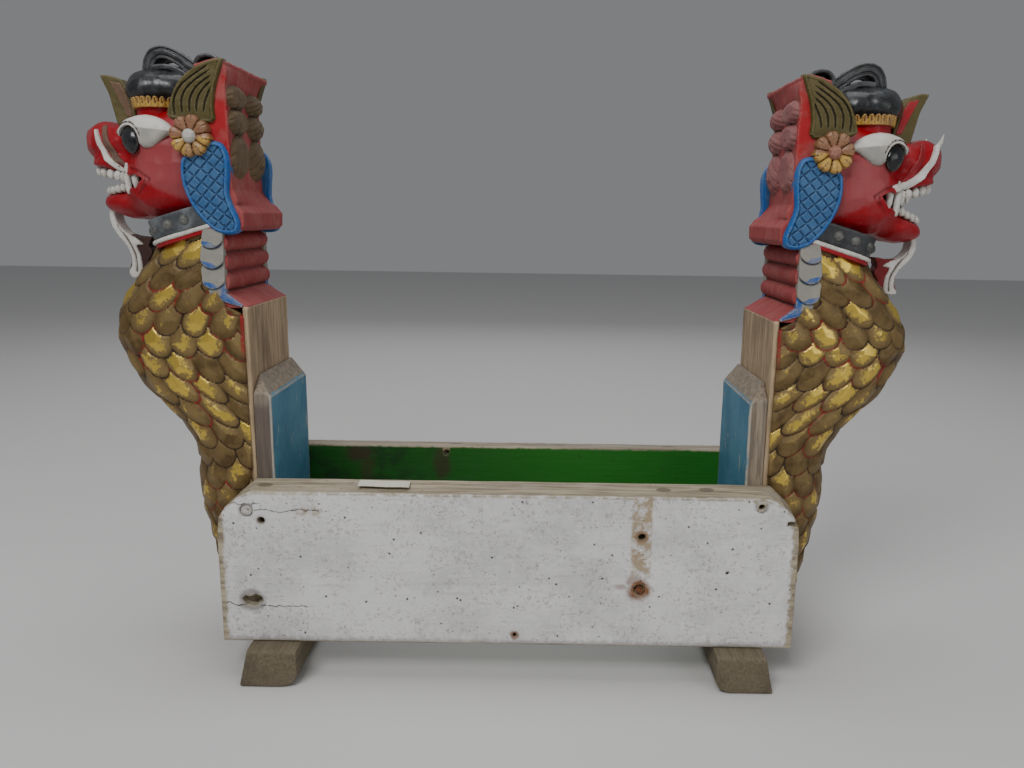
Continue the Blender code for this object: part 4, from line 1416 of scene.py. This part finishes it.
# name, field, low corner, high corner, voxel, look, soft unevenness, tool cuts, cut size, tint
CARVINGS = (
    ("timber", timber_field, (254, -66, 38), (266, 66, 376), 1.8, "timber", 0.25, 0.0, 12.0),
    ("mane", mane_field, (254, -66, 369), (322, 66, 609), 1.35, "mane", 0.4, 0.7, 15.0, mane_tint),
    ("curls", curls_field, (266, -66, 492), (297, 66, 588), 1.1, "curls", 0.2, 0.5, 9.0),
    ("feathers", feathers_field, (255, -70, 369), (304, 70, 453), 0.95, "feathers", 0.15, 0.3, 8.0,
     feather_tint),
    ("collar", collar_field, (290, -68, 432), (362, 68, 476), 1.3, "collar", 0.1, 0.0, 9.0),
    ("collar_rim", collar_rim_field, (288, -70, 424), (364, 70, 466), 1.1, "white", 0.25, 0.2, 7.0),
    ("collar_edge", collar_edge_field, (288, -70, 420), (364, 70, 462), 1.1, "red", 0.2, 0.0, 7.0),
    ("studs", studs_field, (300, -70, 434), (366, 70, 470), 0.75, "stud", 0.1, 0.0, 5.0),
    ("head", head_field, (276, -64, 448), (436, 64, 576), 1.2, "red", 0.35, 1.3, 17.0, cheek_tint),
    ("mouth", mouth_field, (336, -24, 472), (394, 24, 506), 1.6, "mouth", 0.0, 0.0, 9.0),
    ("eye_white", eye_white_field, (316, -62, 513), (386, 62, 560), 0.85, "white", 0.15, 0.5, 11.0,
     eye_tint),
    ("pupil", pupil_field, (352, -64, 514), (380, 64, 547), 0.85, "pupil", 0.0, 0.0, 6.0),
    ("whisker_shadow", stripe_shadow_field, (374, -46, 502), (410, 46, 552), 0.9, "brown", 0.1, 0.0, 6.0),
    ("gums", gums_field, (362, -44, 468), (420, 44, 514), 1.2, "red", 0.2, 0.3, 6.0),
    ("teeth", teeth_field, (370, -43, 476), (425, 43, 512), 0.75, "white", 0.1, 0.35, 4.0),
    ("tusks", tusks_field, (358, -52, 474), (384, 52, 513), 0.75, "white", 0.15, 0.3, 5.0),
    ("crown_band", crown_band_field, (312, -46, 544), (380, 46, 572), 1.2, "red", 0.2, 0.3, 9.0),
    ("crest", crest_field, (314, -48, 560), (384, 48, 576), 0.6, "gold", 0.1, 0.0, 5.0),
    ("cap", cap_field, (308, -44, 562), (390, 44, 606), 1.0, "black", 0.4, 1.4, 17.0),
    ("hair_loop", loop_field, (280, -27, 576), (370, 27, 628), 0.95, "hair", 0.15, 0.5, 9.0),
    ("ear", ear_field, (262, -74, 541), (325, 74, 607), 0.75, "olive", 0.15, 0.3, 8.0),
    ("petals", petals_field, (278, -78, 510), (324, 78, 558), 0.7, "gold", 0.1, 0.4, 4.0, upper_tint),
    ("bead", bead_field, (291, -81, 524), (310, 81, 543), 0.7, "bead", 0.2, 0.6, 4.0),
    ("flap", flap_field, (254, -74, 440), (316, 74, 534), 0.75, "blue", 0.15, 0.3, 8.0, flap_tint),
    ("beard", beard_field, (364, -12, 390), (416, 12, 477), 0.9, "white", 0.2, 0.3, 8.0),
    ("beard_back", beard_back_field, (366, -11, 392), (410, 11, 450), 1.0, "lining", 0.2, 0.3, 8.0),
    ("frontlet", frontlet_field, (370, -16, 542), (416, 20, 600), 0.9, "olive", 0.2, 0.3, 8.0),
    ("frontlet_inner", frontlet_red_field, (375, -17, 552), (406, 21, 594), 0.9, "inner", 0.2, 0.3, 7.0),
)

# CAD nodes that each carving stands for, with SIDE in place of left or right
STANDS_FOR = {
    "head": ["SIDE_dragon_post"], "cap": ["SIDE_crown"], "beard": ["SIDE_beard"],
    "ear": ["SIDE_ear_near", "SIDE_ear_far"], "petals": ["SIDE_rosette_near", "SIDE_rosette_far"],
    "flap": ["SIDE_flap_near", "SIDE_flap_far"],
}


def stance(verts, label):
    """The right dragon stands a little lower and opens its jaw wider than the left one."""
    if label == "left":
        return verts
    out, z = verts[:, 0], verts[:, 2]
    sunk = 6.5 * ease((z - 335.0) / 40.0)
    jaw = ease((493.5 - z) / 5.0) * ease((z - 398.0) / 72.0)
    placed = verts.copy()
    placed[:, 2] = z - sunk - 0.2 * np.maximum(out - 354.0, 0.0) * jaw
    return placed


def place_carving(looks, label, side, name, data, look, tint=None):
    verts, faces, hollow = data
    values = {"crease": hollow}
    if tint:
        values["tint"] = tint(verts[:, 0], verts[:, 1], verts[:, 2])
    nodes = [node.replace("SIDE", label) for node in STANDS_FOR.get(name, [])]
    chosen = looks.get(f"{look}_{label}", looks.get(look))
    add_piece(f"{label}_{name}_carved", on_side(stance(verts, label), faces, side), chosen, nodes,
              values)


def build_dragons(looks):
    for name, field, low, high, voxel, look, rough, cut, size, *tint in CARVINGS:
        data = carve(field, low, high, voxel, rough, 9.0, cut, size, seed=len(name))
        for label, side in SIDES:
            place_carving(looks, label, side, name, data, look, *tint)
    body, quads, caps, values = body_data()
    for label, side in SIDES:
        data = carve(lambda p: stripe_field(p, label), (362, -46, 496), (428, 46, 560), 0.8,
                     0.15, 9.0, 0.3, 7.0)
        place_carving(looks, label, side, "whisker", data, "white")
        placed, faces = on_side(stance(body, label), quads, side)
        ends = caps if side > 0 else tuple(cap[::-1] for cap in caps)
        add_piece(f"{label}_scaled_body", (placed, faces), looks["gold_scales"], [],
                  values, ends)


def peg_and_nail(looks):
    for name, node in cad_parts.items():
        if name.endswith("_peg"):
            node.data.materials.clear()
            node.data.materials.append(looks["peg"])
    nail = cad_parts["rusty_nail"]
    nail.data.materials.clear()
    nail.data.materials.append(looks["rust"])


def rust_look():
    p = Paint("rusted_iron")
    fine = p.noise(1.4, 5, 0.75)
    tone = p.noise(4, 3, 0.6)
    color = p.mix(p.span(fine, 0.38, 0.62), (0.055, 0.022, 0.012), (0.26, 0.088, 0.022))
    color = p.mix(p.both(p.span(tone, 0.5, 0.7), 0.6), color, (0.12, 0.075, 0.05))
    return p.finish(color, 0.85, p.bump(fine, 0.8), metallic=0.15)


# Brown used as the painted shade in the hollows, with dirt specks, of several carvings.
BROWN = (0.06, 0.035, 0.022)

# Painted carvings: material, paint, rubbed paint, painted hollow shade with dirt specks, roughness, coat,
# fading, grain and the rest by name
CARVED_LOOKS = {
    "mane": ("mane_red", (0.3, 0.046, 0.046), (0.34, 0.1, 0.09), (0.07, 0.014, 0.012), 0.62, 0.0, 0.7,
        0.4, {"second": (0.34, 0.01, 0.014)}),
    "curls_left": ("curl_olive", (0.12, 0.08, 0.042), (0.2, 0.14, 0.08), (0.025, 0.016, 0.009), 0.6,
        0.0, 0.6, 0.4),
    "curls_right": ("curl_pink", (0.255, 0.09, 0.09), (0.33, 0.165, 0.15), (0.06, 0.02, 0.018), 0.6,
        0.0, 0.6, 0.4),
    "feathers": ("feather_grey", (0.24, 0.23, 0.2), (0.3, 0.28, 0.24), (0.02, 0.03, 0.045), 0.5, 0.0,
        0.6, 0.3, {"second": (0.016, 0.085, 0.29)}),
    "red": ("head_red", (0.285, 0.001, 0.007), (0.29, 0.035, 0.04), (0.08, 0.004, 0.006), 0.34, 0.1,
        0.45, 0.25, {"second": (0.285, 0.052, 0.056), "specular": 0.2}),
    "white": ("carved_white", (0.62, 0.6, 0.56), (0.44, 0.41, 0.36), (0.1, 0.075, 0.06), 0.42, 0.0,
        0.5, 0.3, {"second": (0.3, 0.29, 0.265)}),
    "brown_left": ("groove_brown", (0.1, 0.055, 0.038), (0.17, 0.1, 0.07), BROWN, 0.5),
    "brown_right": ("groove_red", (0.2, 0.002, 0.006), (0.29, 0.035, 0.04), BROWN, 0.4),
    "inner_left": ("leaf_inside_brown", (0.13, 0.075, 0.045), (0.2, 0.12, 0.08), BROWN, 0.6),
    "inner_right": ("leaf_inside_red", (0.285, 0.002, 0.007), (0.29, 0.04, 0.04), BROWN, 0.4),
    "lining_left": ("beard_back_dark", (0.045, 0.022, 0.018), (0.09, 0.05, 0.04), BROWN, 0.6),
    "lining_right": ("beard_back_red", (0.16, 0.004, 0.007), (0.22, 0.04, 0.04), BROWN, 0.5),
    "mouth": ("mouth_dark", (0.025, 0.006, 0.006), (0.04, 0.02, 0.02), (0.01, 0.004, 0.004), 0.6),
    "stud": ("stud_paint", (0.035, 0.035, 0.034), (0.2, 0.2, 0.18), (0.02, 0.02, 0.02), 0.32),
    "gold": ("gold_leaf", (0.5, 0.3, 0.05), (0.24, 0.125, 0.055), (0.075, 0.032, 0.012), 0.32, 0.0,
        0.8, 0.35, {"second": (0.27, 0.12, 0.06), "specular": 0.6}),
    "bead_left": ("bead_white", (0.48, 0.46, 0.42), (0.36, 0.33, 0.29), BROWN, 0.5),
    "bead_right": ("bead_pink", (0.26, 0.105, 0.075), (0.36, 0.19, 0.13), BROWN, 0.5),
    "blue": ("flap_blue", (0.01, 0.1, 0.34), (0.075, 0.17, 0.32), (0.006, 0.025, 0.08), 0.44, 0.0, 0.5,
        0.3, {"second": (0.028, 0.1, 0.23)}),
    "olive": ("leaf_olive", (0.075, 0.06, 0.016), (0.14, 0.112, 0.048), (0.014, 0.011, 0.004), 0.48,
        0.0, 0.6, 0.3),
    "paper": ("label_paper", (0.66, 0.63, 0.53), (0.55, 0.51, 0.41), (0.3, 0.27, 0.21), 0.8),
}


def make_looks():
    looks = {}
    for key, row in CARVED_LOOKS.items():
        named = row[-1] if isinstance(row[-1], dict) else {}
        looks[key] = carved_paint(*(row[:-1] if named else row), **named)
    looks["white_board"] = white_board_paint()
    looks["green_board"] = green_board_paint()
    looks["cheek"] = cheek_paint()
    looks["foot"] = bare_wood("foot_wood", (0.175, 0.142, 0.09), (0.115, 0.092, 0.058), "Y")
    looks["timber"] = bare_wood("post_wood", (0.5, 0.375, 0.23), (0.26, 0.18, 0.105), "Z")
    looks["peg"] = bare_wood("peg_wood", (0.045, 0.036, 0.028), (0.016, 0.012, 0.01), "Y")
    looks["gold_scales"] = gold_scales()
    looks["pupil"] = black_gloss("pupil_black", 0.1, 0.004)
    looks["black"] = black_gloss("cap_black", 0.24, 0.01)
    looks["hair"] = black_gloss("hair_black", 0.34, 0.022)
    looks["collar_left"] = black_gloss("collar_grey", 0.4, 0.05)
    looks["collar_right"] = black_gloss("collar_black", 0.28, 0.012)
    looks["rust"] = rust_look()
    return looks


# ---------------- floor, light, camera

def plain_material(name, color, rough):
    p = Paint(name)
    return p.finish(color, rough)


def make_stage():
    mesh = bpy.data.meshes.new("floor")
    reach = 6.0
    mesh.from_pydata([(-reach, -reach, 0), (reach, -reach, 0), (reach, reach, 0), (-reach, reach, 0)], [],
                     [(0, 1, 2, 3)])
    mesh.materials.append(plain_material("floor_pale", (0.62, 0.61, 0.6), 0.9))
    floor = bpy.data.objects.new("floor", mesh)
    bpy.context.scene.collection.objects.link(floor)


def area_light(name, place, aim, size, power, color=(1, 1, 1)):
    data = bpy.data.lights.new(name, "AREA")
    data.shape = "RECTANGLE"
    data.size, data.size_y = size
    data.energy = power
    data.color = color
    light = bpy.data.objects.new(name, data)
    bpy.context.scene.collection.objects.link(light)
    light.location = place
    light.rotation_mode = "QUATERNION"
    light.rotation_quaternion = (Vector(aim) - Vector(place)).to_track_quat("-Z", "Y")


def make_lights():
    middle = (0, 0, 0.35)
    area_light("key", (-0.7, -1.7, 2.1), middle, (1.2, 0.9), 38.0)
    area_light("fill", (1.5, -1.8, 1), middle, (1.4, 1.4), 12.0)
    area_light("top", (0, 0.2, 2.3), middle, (1.8, 1.2), 14.0)
    area_light("back", (0, 2.2, 1.4), middle, (2.4, 1.2), 8.0)
    world = bpy.data.worlds.new("studio")
    bpy.context.scene.world = world
    world.use_nodes = True
    world.node_tree.nodes["Background"].inputs["Color"].default_value = (0.8, 0.82, 0.85, 1)
    world.node_tree.nodes["Background"].inputs["Strength"].default_value = 0.26


def make_camera():
    """Camera where the photograph was taken: level with the dragons' necks, looking down a little."""
    place = Vector((0.0296, -0.8816, 0.466))
    pitch = 0.1983
    roll = 0.0148
    forward = Vector((0.0, math.cos(pitch), -math.sin(pitch)))
    right = Vector((1, 0, 0))
    down = Vector((0.0, -math.sin(pitch), -math.cos(pitch)))
    turned_right = right - roll * down
    turned_down = down + roll * right
    data = bpy.data.cameras.new("camera")
    data.sensor_width = 36.0
    data.lens = 29.55
    data.shift_x = -0.0278
    camera = bpy.data.objects.new("camera", data)
    bpy.context.scene.collection.objects.link(camera)
    axes = (turned_right.normalized(), -turned_down.normalized(), -forward)
    camera.matrix_world = Matrix.Translation(place) @ Matrix(axes).transposed().to_4x4()
    bpy.context.scene.camera = camera


make_camera()
make_stage()
make_lights()
looks = make_looks()
build_structure(looks)
build_dragons(looks)
peg_and_nail(looks)
